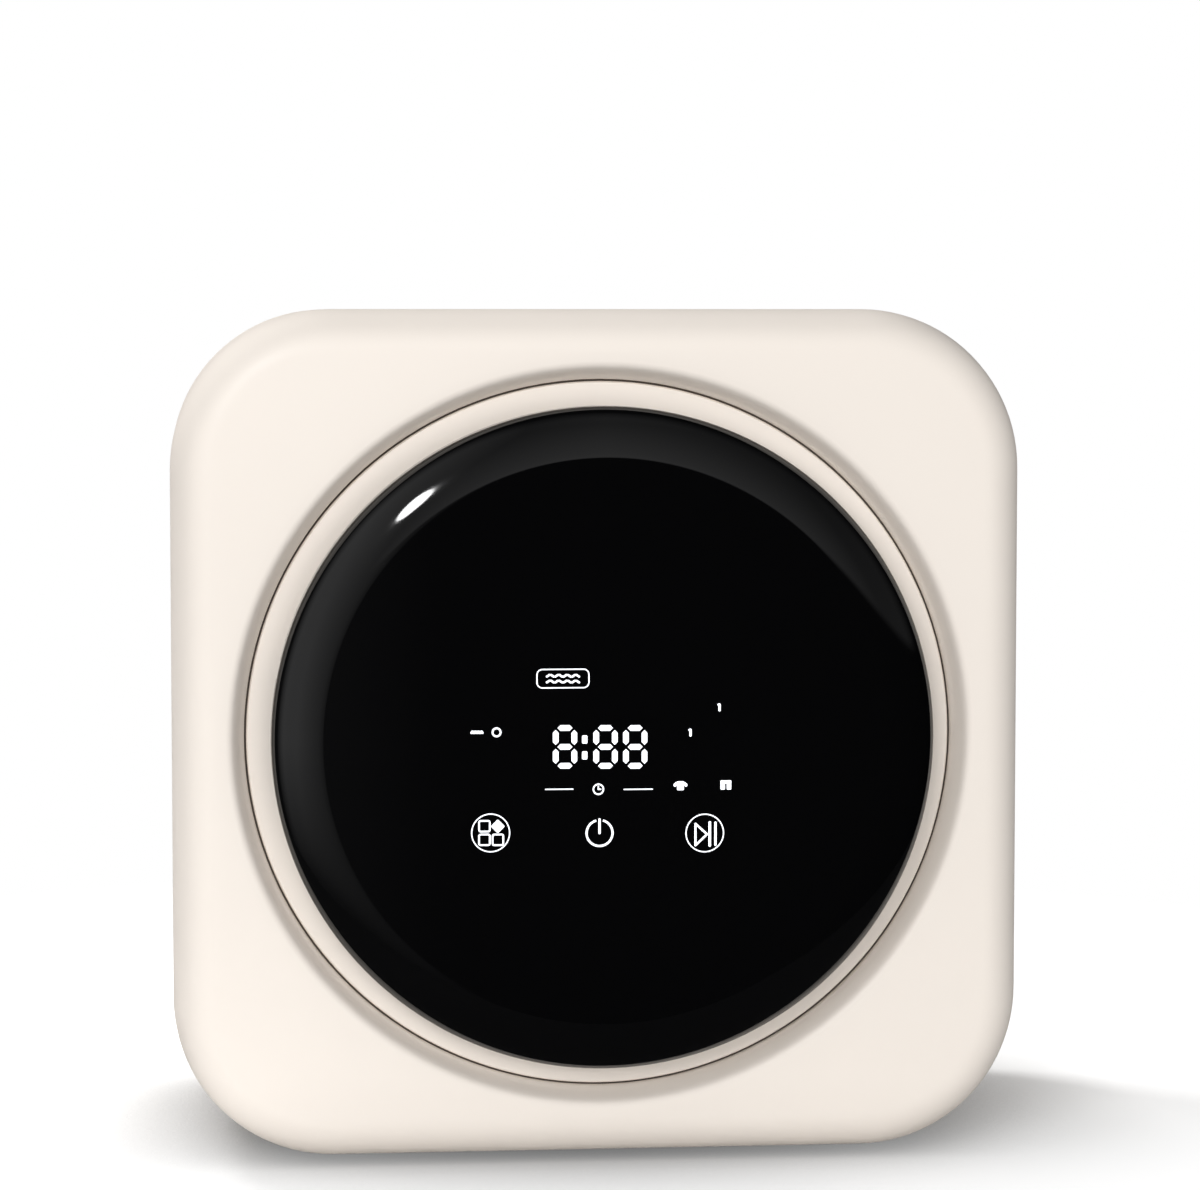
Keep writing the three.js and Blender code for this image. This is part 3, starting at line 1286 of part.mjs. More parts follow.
// ---- fasteners ----
// A pan head screw with its head towards the front or the back, its seat at depth 0 and its axis on the drum axis.
function screw(headR, headT, shankR, length, facing) {
  const profile = [
    [0, -length], [shankR, -length], [shankR, 0], [headR, 0], [0.8 * headR, headT], [0, headT],
  ].map(([r, d]) => [r, facing * d]);
  return geometryOf(solidOf(turned(profile, SCREW_SIDES)));
}

// ---- assembly ----
const machine = new THREE.Group();
machine.position.set(0, DEPTH / 2, HALF_H + FOOT_DROP);
const fixed = new THREE.Group();
const drum = new THREE.Group();
const motor = new THREE.Group();
const door = new THREE.Group();
const latch = new THREE.Group();
machine.add(fixed, drum, motor, door);
door.add(latch);

function add(group, name, geometry, material, place = [0, 0, 0]) {
  const mesh = new THREE.Mesh(geometry, material);
  mesh.name = name;
  mesh.position.set(...place);
  group.add(mesh);
  return mesh;
}

add(fixed, "front_shell", frontShell(), cream);
add(fixed, "rear_shell", rearShell(), cream);
add(fixed, "recess_panel", recessPanel(), cream);
add(fixed, "wall_bracket", wallBracket(), zinc);
add(fixed, "rear_frame", rearFrame(), zinc);
for (const spot of feet()) {
  add(fixed, spot.name, foot(spot), darkRubber, [spot.x, -spot.d, -HALF_H - FOOT_DROP]);
}
const housingScrew = screw(SCREW_HEAD_R, SCREW_HEAD_T, SCREW_R, HOUSING_SCREW_LEN, -1);
cornerPosts().forEach(([x, z], k) => {
  add(fixed, "housing_screw_" + (k + 1), housingScrew, zinc, [x, CLEAR - (POST_D - 2 * WALL), z]);
});
add(fixed, "tub_rear", tubRear(), greyPlastic);
add(fixed, "tub_front", tubFront(), greyPlastic);
add(fixed, "door_gasket", doorGasket(), rubber);
add(fixed, "gasket_clamp", gasketClamp(), zinc);
const bearingD = HUB_BACK_D + CLEAR;
const frontBearingD = bearingD + BEARING_T + BEARING_SHOULDER + 2 * CLEAR;
const sealD = frontBearingD + BEARING_T + CLEAR;
const boreR = SHAFT_R + CLEAR;
add(fixed, "rear_bearing", sleeve(boreR, BEARING_R, bearingD, bearingD + BEARING_T), steel);
add(fixed, "front_bearing", sleeve(boreR, BEARING_R, frontBearingD, frontBearingD + BEARING_T), steel);
add(fixed, "shaft_seal", sleeve(boreR, BEARING_R, sealD, sealD + SEAL_T), darkRubber);
add(fixed, "drive_motor", driveMotor(), greyPlastic);
add(fixed, "drive_belt", driveBelt(), darkRubber);
add(fixed, "inlet_valve", inletValve(), white);
add(fixed, "fill_hose", fillHose(), darkRubber);
add(fixed, "drain_pump", drainPump(), greyPlastic);
add(fixed, "sump_hose", sumpHose(), darkRubber);
add(fixed, "control_board", controlBoard(), white);
add(fixed, "cord_gland", cordGland(), darkRubber);
add(fixed, "door_lock", doorLock(), white);
add(fixed, "hinge_bracket", hingeBracket(), steel);
add(fixed, "hinge_pin", upright(
  PIN_R, HINGE_X, HINGE_D, -BARREL_HALF - EAR_T - 2, BARREL_HALF + EAR_T + 2, SHAFT_SIDES), steel);
const panelScrew = screw(SCREW_HEAD_R, SCREW_HEAD_T, SCREW_R, PANEL_SCREW_LEN, 1);
hingeScrewSpots().forEach(({ x, z }, k) => {
  const seat = FLOOR_D + HINGE_PLATE_T + 2 * CLEAR;
  add(fixed, "hinge_screw_" + (k + 1), panelScrew, steel, [x, -seat, z]);
});

add(drum, "drum_shell", drumShell(), steel);
add(drum, "spider_plate", spiderPlate(), steel);
for (let k = 0; k < ARMS; k++) {
  add(drum, "lifter_" + (k + 1), lifter(), greyPlastic).rotation.y = (360 / ARMS) * k * DEG;
}
const spiderScrew = screw(2.6 * DRUM_SCREW_R, 1.2 * DRUM_SCREW_R, DRUM_SCREW_R, SPIDER_T + FLANGE_T, 1);
drumScrewSpots().forEach(({ x, z }, k) => {
  add(drum, "spider_screw_" + (k + 1), spiderScrew, steel, [x, -(SPIDER_D + SPIDER_T + CLEAR), z]);
});
add(drum, "drum_shaft", drumShaft(), steel);
add(drum, "drum_pulley", drumPulley(), zinc);

add(motor, "motor_pulley", motorPulley(), zinc);

add(door, "door_panel", doorPanel(), black);
add(door, "door_frame", doorFrame(), white);
add(door, "door_dome", doorDome(), clear);
add(door, "display_board", displayBoard(), board);
add(door, "hinge_arm", hingeArm(), steel);
const doorScrew = screw(2 * DOOR_SCREW_R, DOOR_SCREW_R, DOOR_SCREW_R, DOOR_SCREW_LEN, -1);
doorScrewSpots().forEach(({ x, z }, k) => {
  add(door, "door_screw_" + (k + 1), doorScrew, steel, [x, CLEAR - INNER_BACK_D, z]);
});

add(latch, "latch_lever", latchLever(), white);
const latchPinHalf = GRIP_HALF + 5;
add(latch, "latch_pin", upright(
  LATCH_PIN_R, LATCH_X, LATCH_D, -latchPinHalf, latchPinHalf, SCREW_SIDES), steel);

export default machine;
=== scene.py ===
# Looks of a wall mounted washing machine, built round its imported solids. Inside the housing a place is given as
# x and z from the drum axis and a depth from the wall plane, in millimetres, so a turned piece is a list of
# (radius, depth) pairs. Blender works in metres, with the wall at +Y and the door facing -Y.
import json
import math

import bpy
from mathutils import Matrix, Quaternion, Vector


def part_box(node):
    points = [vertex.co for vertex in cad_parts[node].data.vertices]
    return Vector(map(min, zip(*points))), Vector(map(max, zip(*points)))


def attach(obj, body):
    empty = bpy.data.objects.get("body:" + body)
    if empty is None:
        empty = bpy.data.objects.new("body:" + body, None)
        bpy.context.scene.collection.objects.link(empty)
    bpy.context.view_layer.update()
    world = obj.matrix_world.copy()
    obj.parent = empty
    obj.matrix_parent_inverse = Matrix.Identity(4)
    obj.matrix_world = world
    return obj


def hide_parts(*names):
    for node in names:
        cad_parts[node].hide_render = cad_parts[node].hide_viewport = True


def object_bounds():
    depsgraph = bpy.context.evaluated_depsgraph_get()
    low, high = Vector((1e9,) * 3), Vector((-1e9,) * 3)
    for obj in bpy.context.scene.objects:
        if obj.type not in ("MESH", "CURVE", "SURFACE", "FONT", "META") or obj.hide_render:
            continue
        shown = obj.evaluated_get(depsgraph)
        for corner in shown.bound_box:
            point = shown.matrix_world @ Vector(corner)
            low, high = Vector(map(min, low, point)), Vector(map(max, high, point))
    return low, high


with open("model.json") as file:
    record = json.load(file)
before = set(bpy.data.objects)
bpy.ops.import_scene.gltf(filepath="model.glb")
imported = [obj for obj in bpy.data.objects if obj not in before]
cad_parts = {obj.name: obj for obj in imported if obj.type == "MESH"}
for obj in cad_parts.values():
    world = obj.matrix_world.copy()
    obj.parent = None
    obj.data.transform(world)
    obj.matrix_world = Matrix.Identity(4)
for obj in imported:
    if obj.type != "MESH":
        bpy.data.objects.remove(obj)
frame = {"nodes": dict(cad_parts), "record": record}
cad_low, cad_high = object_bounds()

MM = 0.001
WALL_Y = cad_high.y
AXIS_Z = sum((corner.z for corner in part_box("drum_shell")), 0.0) / 2

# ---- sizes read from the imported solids, in millimetres ----


def reach(node):
    """Half the width of a node that is centred on the drum axis."""
    low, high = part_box(node)
    return (high.x - low.x) / 2 / MM


def depths(node):
    """The node's nearest and furthest depth from the wall."""
    low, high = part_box(node)
    return (WALL_Y - high.y) / MM, (WALL_Y - low.y) / MM


def middle_of(node):
    """The middle of a node, across and up from the drum axis."""
    low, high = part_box(node)
    return (low.x + high.x) / 2 / MM, ((low.z + high.z) / 2 - AXIS_Z) / MM


HALF_W = reach("front_shell")
HALF_H = (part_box("front_shell")[1].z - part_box("front_shell")[0].z) / 2 / MM
CREST_D = depths("front_shell")[1]
DOOR_R = reach("door_panel")
DOOR_APEX_D = depths("door_panel")[1]
MARGIN_D = depths("recess_panel")[1]
PANEL_R = reach("recess_panel")
DRUM_R = reach("drum_shell")
DRUM_BACK_D, DRUM_FRONT_D = depths("drum_shell")
REAR_D, REAR_END_D = depths("rear_shell")
HINGE_X = middle_of("hinge_pin")[0]

# ---- sizes of the fine pieces ----
SPLIT_D = 112.0  # back edge of the front shell
CORNER_R = 75.0
CORNER_STEPS = 24
SIDE_CUTS = 25
RING_SIDES = 200
SHELL_WALL = 3.0
EDGE_IN = 20.0
EDGE_DEEP = 28.0
EDGE_STEPS = 12
LAND_CLEAR = 0.3  # between the flat land and the edge's roundness
SEAM_GAP = 1.0
SEAM_R = PANEL_R + SEAM_GAP / 2
MARGIN_STEP = 4.0
FLOOR_D = MARGIN_D - MARGIN_STEP
MOUTH_R = 102.0
STEP_IN = 6.0  # how far behind the door's edge the margin ring steps down to the floor
SEAM_CLEAR = 0.08
# How far the lip stands out from the seam and how far it has dipped below the crest there.
LIP = [
    (8.6, 0.05), (7.7, 0.2), (6.9, 0.5), (6.1, 1.0), (5.4, 1.75), (4.8, 2.8), (4.2, 4.1),
    (3.7, 5.6), (3.0, 7.6), (2.3, 9.9), (1.5, 12.2), (0.7, 13.7),
]
DOOR_BACK_D = CREST_D - 2.0
DOOR_RIM = 10.0
DOOR_FINE_R = DOOR_R + 1.4
SHOULDER_IN = 22.0
SHOULDER_TURN = 75  # degrees of arc from the rim to the crease beside the crown
SHOULDER_STEPS = 20
CROWN_DROP = 2.0
CROWN_STEPS = 10
DOOR_WALL = 2.5
PANEL_WALL = 3.0
EAR_Z = 33.0  # middle of a hinge ear above or below the drum axis
EAR_HALF = 4.5
SKIN = 0.06  # how far the lit marks stand in front of the door
TINY = 1e-6


def y_at(depth):
    """The Y that is a depth from the wall plane."""
    return WALL_Y - depth * MM


# ---- camera ----
FRAME_PX = (1200, 1190)
FRONT_PX = 854  # the width of the front, in photo pixels
SILHOUETTE_D = CREST_D - EDGE_DEEP
MM_PER_PX = 2 * HALF_W / FRONT_PX
CAMERA_AWAY = 1.9
CAMERA_OFF = Vector((-0.185, 0, 0.195))
OBJECT_PX = (597.0, 732.6)
SPAN_PX = ((500, 700), (700, 850))  # two places on the door, to measure the size of a photo pixel there
SENSOR_MM = 36.0


def aimed(name, data, place, aim):
    """A camera or a lamp in its place, facing a point."""
    thing = bpy.data.objects.new(name, data)
    bpy.context.scene.collection.objects.link(thing)
    thing.location = place
    thing.rotation_mode = "QUATERNION"
    thing.rotation_quaternion = (Vector(aim) - Vector(place)).to_track_quat("-Z", "Y")
    return thing


def camera():
    """A long lens a little to the left and above, so that the front fills the frame as it does in the photo."""
    data = bpy.data.cameras.new("camera")
    data.sensor_width = SENSOR_MM
    data.lens = SENSOR_MM * CAMERA_AWAY / (FRAME_PX[0] * MM_PER_PX * MM)
    data.clip_start = 0.05
    data.clip_end = 50
    target = Vector((0, y_at(SILHOUETTE_D), AXIS_Z))
    across = (OBJECT_PX[0] - FRAME_PX[0] / 2) * MM_PER_PX * MM
    down = (OBJECT_PX[1] - FRAME_PX[1] / 2) * MM_PER_PX * MM
    place = target + CAMERA_OFF + Vector((0, -CAMERA_AWAY, 0))
    cam = aimed("camera", data, place, target + Vector((-across, 0, down)))
    bpy.context.scene.camera = cam
    return cam


def door_spot(px, py):
    """The place on the door's front, in millimetres across and up from the drum axis, seen at a photo pixel."""
    ray = eye.rotation_quaternion @ Vector((
        (px - FRAME_PX[0] / 2) * MM_PER_PX * MM, (FRAME_PX[1] / 2 - py) * MM_PER_PX * MM, -CAMERA_AWAY))
    spot = eye.location + ray * ((y_at(DOOR_APEX_D) - eye.location.y) / ray.y)
    return spot.x / MM, (spot.z - AXIS_Z) / MM


# ---- materials ----
def shader_of(name, colour, roughness, metallic=0.0, **sockets):
    """A new material with its Principled shader set on its own sockets."""
    material = bpy.data.materials.new(name)
    material.use_nodes = True
    shader = material.node_tree.nodes["Principled BSDF"]
    shader.inputs["Base Color"].default_value = (*colour, 1.0)
    shader.inputs["Roughness"].default_value = roughness
    shader.inputs["Metallic"].default_value = metallic
    for socket, value in sockets.items():
        shader.inputs[socket.replace("_", " ")].default_value = value
    return material, material.node_tree, shader


def shading(tree, kind, inputs, **settings):
    """The outputs of a new node. An input given a socket is linked, and one given a value is set."""
    node = tree.nodes.new("ShaderNode" + kind)
    for key, value in settings.items():
        setattr(node, key, value)
    for name, value in inputs.items():
        if isinstance(value, bpy.types.NodeSocket):
            tree.links.new(value, node.inputs[name])
        else:
            node.inputs[name].default_value = value
    return node.outputs


def combined(tree, operation, first, second):
    """The result of a math node on two values, each a socket or a number."""
    return shading(tree, "Math", {0: first, 1: second}, operation=operation)["Value"]


def product(tree, first, *others):
    """The product of values, each a socket or a number."""
    for other in others:
        first = combined(tree, "MULTIPLY", first, other)
    return first


def ranged(tree, value, low, high, to_low, to_high):
    """Maps a value from one range to another."""
    limits = {"From Min": low, "From Max": high, "To Min": to_low, "To Max": to_high}
    return shading(tree, "MapRange", {"Value": value, **limits})["Result"]


def spread(tree, value, low, high):
    """Maps a noise value from its usual range onto low to high."""
    return ranged(tree, value, 0.3, 0.7, low, high)


def object_noise(tree, scale, detail=3.0, stretch=(1.0, 1.0, 1.0)):
    """Noise on the piece's own coordinates, drawn out along the axes by stretch."""
    place = shading(tree, "TexCoord", {})["Object"]
    place = shading(tree, "Mapping", {"Vector": place, "Scale": stretch})["Vector"]
    return shading(tree, "TexNoise", {"Vector": place, "Scale": scale, "Detail": detail})["Fac"]


def mottle(tree, shader, value, first, second):
    """Lets the base colour drift between two near colours."""
    mix = shading(tree, "Mix", {
        "A": (*first, 1.0), "B": (*second, 1.0), "Factor": spread(tree, value, 0.0, 1.0)}, data_type="RGBA")
    tree.links.new(mix["Result"], shader.inputs["Base Color"])


def relief(tree, shader, value, distance):
    """Raises the surface where a value is high, by a distance in metres."""
    bump = shading(tree, "Bump", {"Distance": distance, "Strength": 1.0, "Height": value})
    tree.links.new(bump["Normal"], shader.inputs["Normal"])


def tint(colour, share):
    """The colour a little darker or lighter: for mottling, for the margin ring's painted light, and for the
    three-armed plate's lighter steel.
    """
    return tuple(min(1.0, channel * share) for channel in colour)


def surface(name, colour, roughness, drift, gloss, grain, metallic=0.0, **sockets):
    """A material with a drift of colour, an uneven gloss and a grain. Each of the three is given as the
    settings of its noise, followed by how strong it is."""
    material, tree, shader = shader_of(name, colour, roughness, metallic, **sockets)
    noise, share = drift
    mottle(tree, shader, object_noise(tree, *noise), colour, tint(colour, share))
    noise, less, more = gloss
    uneven = spread(tree, object_noise(tree, *noise), roughness - less, roughness + more)
    tree.links.new(uneven, shader.inputs["Roughness"])
    noise, height = grain
    relief(tree, shader, object_noise(tree, *noise), height)
    return material


def moulded(name, colour, roughness, grain=0.00001):
    """Moulded plastic with a fine eroded grain."""
    return surface(
        name, colour, roughness, ((9.0,), 0.985), ((60.0, 4.0), 0.03, 0.03), ((1400.0, 2.0), grain))


def black_gloss():
    """The door's polished black face: near mirror gloss with faint wiping marks."""
    material, tree, shader = shader_of(
        "door_black_gloss", (0.0016, 0.0016, 0.0018), 0.05, Specular_IOR_Level=0.4)
    wiped = object_noise(tree, 14.0, 5.0, (1.0, 1.0, 3.0))
    tree.links.new(spread(tree, wiped, 0.045, 0.07), shader.inputs["Roughness"])
    return material


def lit_mark():
    """The white light of the display marks."""
    lamp = (0.8, 0.82, 0.85)
    material, tree, shader = shader_of(
        "display_light", lamp, 0.3, Emission_Color=(0.93, 0.95, 1.0, 1.0), Emission_Strength=0.95)
    mottle(tree, shader, object_noise(tree, 90.0), lamp, (0.75, 0.78, 0.82))
    return material


def milky_dome():
    """Clear moulded plastic, a little milky, with faint flow lines."""
    milk = (0.93, 0.95, 0.96)
    material, tree, shader = shader_of(
        "clear_dome", milk, 0.08, Transmission_Weight=0.66, IOR=1.46, Coat_Weight=0.3, Coat_Roughness=0.04)
    mottle(tree, shader, object_noise(tree, 12.0), milk, (0.89, 0.92, 0.935))
    relief(tree, shader, object_noise(tree, 26.0, 1.0), 0.00006)
    return material


def rubber(name, colour, roughness):
    """Moulded rubber with a fine dull skin and a drift of bloom."""
    return surface(
        name, colour, roughness, ((22.0, 4.0), 1.12), ((80.0, 3.0), 0.06, 0.06), ((900.0, 3.0), 0.00003),
        Specular_IOR_Level=0.35)


def brushed(name, colour, roughness):
    """Bright sheet steel with fine lines of brushing round the drum axis."""
    lines = (90.0, 2.0, (1.0, 0.04, 1.0))
    return surface(
        name, colour, roughness, (lines, 0.97), (lines, 0.03, 0.04),
        ((300.0, 2.0, (1.0, 0.05, 1.0)), 0.000004), 0.6, Anisotropic=0.35)


def plated(name, colour, roughness):
    """Cast metal with a cloudy surface and a fine grain."""
    return surface(
        name, colour, roughness, ((45.0, 5.0), 0.86), ((120.0, 4.0), 0.08, 0.08), ((1100.0, 2.0), 0.00002),
        1.0)


def satin(name, colour, roughness):
    """Pressed sheet steel with an even satin skin."""
    return surface(
        name, colour, roughness, ((18.0, 4.0), 0.95), ((160.0, 3.0, (1.0, 1.0, 0.2)), 0.05, 0.05),
        ((1300.0, 2.0), 0.000006), 0.5)


def circuit_green():
    """Green solder mask over faint copper tracks."""
    mask, track = (0.012, 0.10, 0.045), (0.02, 0.15, 0.07)
    material, tree, shader = shader_of("circuit_board", mask, 0.35)
    tracks = object_noise(tree, 160.0, 0.0, (1.0, 1.0, 0.2))
    mottle(tree, shader, tracks, mask, track)
    relief(tree, shader, tracks, 0.00002)
    return material


CREAM = (0.88, 0.81, 0.74)
STEEL = (0.72, 0.72, 0.715)
# Painted shade: the dark brown of the strip at the bottom of the seam.
SEAM_PAINTED_SHADE = (0.07, 0.055, 0.045)

WHITE = (0.80, 0.79, 0.77)

# A lighter copy of the casing cream for the margin ring: painted light against the shade of the door and lip.
painted_light_cream = moulded("margin_cream_painted_light", tint(CREAM, 1.07), 0.36)
painted_seam_shade = moulded("painted_seam_shade", SEAM_PAINTED_SHADE, 0.8, 0.00005)
display_light = lit_mark()
hinge_steel = satin("hinge_steel", STEEL, 0.42)
arm_steel = satin("arm_steel", tint(STEEL, 1.15), 0.4)
# Painted shade: dark steel for the flat band round the drum's three-armed plate.
painted_shade_steel = satin("channel_painted_shade", (0.115, 0.11, 0.11), 0.5)
finishes = {  # one for each material slot of the record
    "casing": moulded("casing_cream", CREAM, 0.47),
    "door_black": black_gloss(),
    "white_plastic": moulded("white_plastic", WHITE, 0.34),
    "clear_dome": milky_dome(),
    "gasket_rubber": rubber("gasket_rubber", (0.185, 0.220, 0.258), 0.52),
    "black_rubber": rubber("black_rubber", (0.015, 0.015, 0.016), 0.6),
    "foot_rubber": rubber("foot_rubber", (0.60, 0.585, 0.56), 0.55),
    "stainless": brushed("stainless", (0.80, 0.80, 0.80), 0.32),
    "zinc_steel": satin("zinc_steel", (0.58, 0.59, 0.60), 0.42),
    "cast_pulley": plated("cast_aluminium", (0.60, 0.61, 0.62), 0.48),
    "tub_plastic": moulded("tub_plastic", (0.34, 0.35, 0.36), 0.5, 0.00002),
    "motor_metal": moulded("motor_metal", (0.035, 0.037, 0.04), 0.42, 0.00002),
    "circuit_board": circuit_green(),
}


def finish_solids():
    """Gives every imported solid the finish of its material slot."""
    for part in frame["record"]["subparts"]:
        solid = frame["nodes"][part["node"]]
        solid.data.materials.clear()
        solid.data.materials.append(finishes[part["material_slot"]])


# ---- modelling ----
def object_mode():
    bpy.ops.object.mode_set(mode="OBJECT")


def edit_mode():
    bpy.ops.object.mode_set(mode="EDIT")


def select_all(action="SELECT"):
    """Selects all of the piece in edit mode, or with DESELECT nothing."""
    bpy.ops.mesh.select_all(action=action)


def extrude(depth=0.0):
    """Extrudes what is selected towards the viewer, by a depth in millimetres."""
    bpy.ops.mesh.extrude_region_move(TRANSFORM_OT_translate={"value": (0, -depth * MM, 0)})


def begin():
    """Object mode with nothing selected, ready for a new primitive."""
    if bpy.context.object and bpy.context.object.mode != "OBJECT":
        object_mode()
    bpy.ops.object.select_all(action="DESELECT")
    bpy.context.tool_settings.mesh_select_mode = (True, False, False)


def place_in_mesh():
    """Applies the active piece's place, turn and scale, so that its object sits at the origin."""
    bpy.ops.object.transform_apply(location=True, rotation=True, scale=True)


def take(name):
    """The piece that was just added, under its name."""
    piece = bpy.context.object
    piece.name = name
    piece.data.name = name
    return piece


def pick(piece):
    """Object mode with this one piece selected and active."""
    begin()
    piece.select_set(True)
    bpy.context.view_layer.objects.active = piece


def edit(piece, mode="VERT"):
    """Edit mode on a piece, with the selection that it has."""
    pick(piece)
    bpy.context.tool_settings.mesh_select_mode = tuple(mode == kind for kind in ("VERT", "EDGE", "FACE"))
    edit_mode()


def drop_faces(piece, unwanted):
    """Deletes the faces that pass a test."""
    for face in piece.data.polygons:
        face.select = unwanted(face)
    edit(piece, "FACE")
    bpy.ops.mesh.delete(type="FACE")
    object_mode()


def close_up():
    """Merges what meets, turns all faces outwards and leaves edit mode."""
    select_all()
    bpy.ops.mesh.remove_doubles(threshold=TINY)
    bpy.ops.mesh.normals_make_consistent(inside=False)
    object_mode()


def modify(piece, kind, **settings):
    """Adds a modifier and applies it at once."""
    pick(piece)
    modifier = piece.modifiers.new(kind.lower(), kind)
    for key, value in settings.items():
        setattr(modifier, key, value)
    bpy.ops.object.modifier_apply(modifier=modifier.name)
    return piece


def thicken(piece, wall):
    """Gives an open surface a wall behind it."""
    return modify(piece, "SOLIDIFY", thickness=wall * MM, offset=-1.0, use_even_offset=True)


def soften(piece, width, segments=3, angle=30):
    """Rounds the piece's sharp edges by a width in millimetres."""
    return modify(
        piece, "BEVEL", width=width * MM, segments=segments, limit_method="ANGLE",
        angle_limit=math.radians(angle), use_clamp_overlap=True, harden_normals=False)


def block(x0, x1, z0, z1, d0, d1):
    """A box to cut or join with, between two places across, up and in depth."""
    begin()
    bpy.ops.mesh.primitive_cube_add(size=1, location=(
        (x0 + x1) / 2 * MM, y_at((d0 + d1) / 2), AXIS_Z + (z0 + z1) / 2 * MM))
    piece = take("block")
    piece.scale = ((x1 - x0) * MM, (d1 - d0) * MM, (z1 - z0) * MM)
    place_in_mesh()
    return piece


def rod(radius, d0, d1, x, z, sides=48):
    """A round bar to cut or join with, along the depth."""
    begin()
    bpy.ops.mesh.primitive_cylinder_add(
        vertices=sides, radius=radius * MM, depth=(d1 - d0) * MM,
        location=(x * MM, y_at((d0 + d1) / 2), AXIS_Z + z * MM), rotation=(math.pi / 2, 0, 0))
    piece = take("rod")
    place_in_mesh()
    return piece


def carve(piece, tools, operation="DIFFERENCE"):
    """Cuts tools out of a piece, or joins them to it, and clears them away."""
    for tool in tools:
        modify(piece, "BOOLEAN", object=tool, operation=operation, solver="EXACT")
        mesh = tool.data
        bpy.data.objects.remove(tool)
        bpy.data.meshes.remove(mesh)
    return piece


def twin(piece, name):
    """A copy of a piece with its own mesh."""
    begin()
    other = bpy.data.objects.new(name, piece.data.copy())
    other.data.name = name
    bpy.context.scene.collection.objects.link(other)
    return other


def refined(node, name, width, segments=3, angle=30):
    """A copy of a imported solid, its loose triangles merged into flat faces and its edges rounded."""
    piece = twin(frame["nodes"][node], name)
    edit(piece)
    select_all()
    bpy.ops.mesh.remove_doubles(threshold=10 * TINY)
    bpy.ops.mesh.dissolve_limited(angle_limit=math.radians(1))
    object_mode()
    return soften(piece, width, segments, angle)


def dress(piece, body, slot=None, replaces=(), look=None, angle=35):
    """Gives a finished piece its shading, its look, the body it rides on and the solids it stands for."""
    pick(piece)
    bpy.ops.object.shade_smooth_by_angle(angle=math.radians(angle))
    piece.data.materials.clear()
    piece.data.materials.append(look or finishes[slot])
    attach(piece, body)
    if replaces:
        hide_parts(*replaces)
    return piece


def reworked(node, name, width, body, slot, look=None, segments=3, angle=35):
    """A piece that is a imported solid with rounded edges."""
    return dress(refined(node, name, width, segments), body, slot, [node], look, angle)


def push_loop(radius, depth, next_radius, next_depth):
    """Extrudes the selected loop or face to the next radius and depth."""
    extrude(next_depth - depth)
    share = next_radius / radius
    bpy.ops.transform.resize(value=(share, 1, share))


def turned(name, profile, sides=RING_SIDES, x=0.0, z=0.0, capped=False):
    """A piece turned about a line along the depth, from (radius, depth) pairs. A profile that ends at radius 0
    closes in a pole, and its start is open unless it is capped; any other profile closes on its first pair."""
    begin()
    radius, depth = profile[0]
    bpy.ops.mesh.primitive_circle_add(
        vertices=sides, radius=radius * MM, location=(x * MM, y_at(depth), AXIS_Z + z * MM),
        rotation=(math.pi / 2, 0, 0), fill_type="NGON" if capped else "NOTHING")
    piece = take(name)
    place_in_mesh()
    edit_mode()
    open_end = profile[-1][0] == 0
    for next_radius, next_depth in profile[1:] if open_end else [*profile[1:], profile[0]]:
        if next_radius == 0:
            push_loop(radius, depth, radius / 2, next_depth)
            bpy.ops.mesh.merge(type="CENTER")
        else:
            push_loop(radius, depth, next_radius, next_depth)
        radius, depth = next_radius, next_depth
    close_up()
    return piece


def square_face(name, inset, depth, turn=math.pi / 2):
    """Leaves a rounded square face in edit mode, parallel to the housing's outline, selected all over."""
    begin()
    bpy.ops.mesh.primitive_plane_add(size=1, location=(0, y_at(depth), AXIS_Z), rotation=(turn, 0, 0))
    piece = take(name)
    piece.scale = (2 * (HALF_W - inset) * MM, 2 * (HALF_H - inset) * MM, 1)
    place_in_mesh()
    edit_mode()
    bpy.ops.mesh.bevel(
        offset=(CORNER_R - inset) * MM, segments=CORNER_STEPS, affect="VERTICES", clamp_overlap=False)
    bpy.ops.mesh.select_mode(type="EDGE")
    select_all("DESELECT")
    object_mode()
    for edge in piece.data.edges:
        ends = [piece.data.vertices[i].co for i in edge.vertices]
        edge.select = (ends[0] - ends[1]).length > CORNER_R * MM
    edit_mode()
    bpy.ops.mesh.subdivide(number_cuts=SIDE_CUTS)
    bpy.ops.mesh.select_mode(type="FACE")
    select_all()
    return piece


def round_edge(steps, across, deep):
    """Rounds the selected face's edge by insets that follow a quarter turn."""
    turns = [math.pi / 2 * k / steps for k in range(steps + 1)]
    for a, b in zip(turns, turns[1:]):
        bpy.ops.mesh.inset(
            thickness=across * (math.cos(a) - math.cos(b)) * MM, depth=deep * (math.sin(b) - math.sin(a)) * MM)


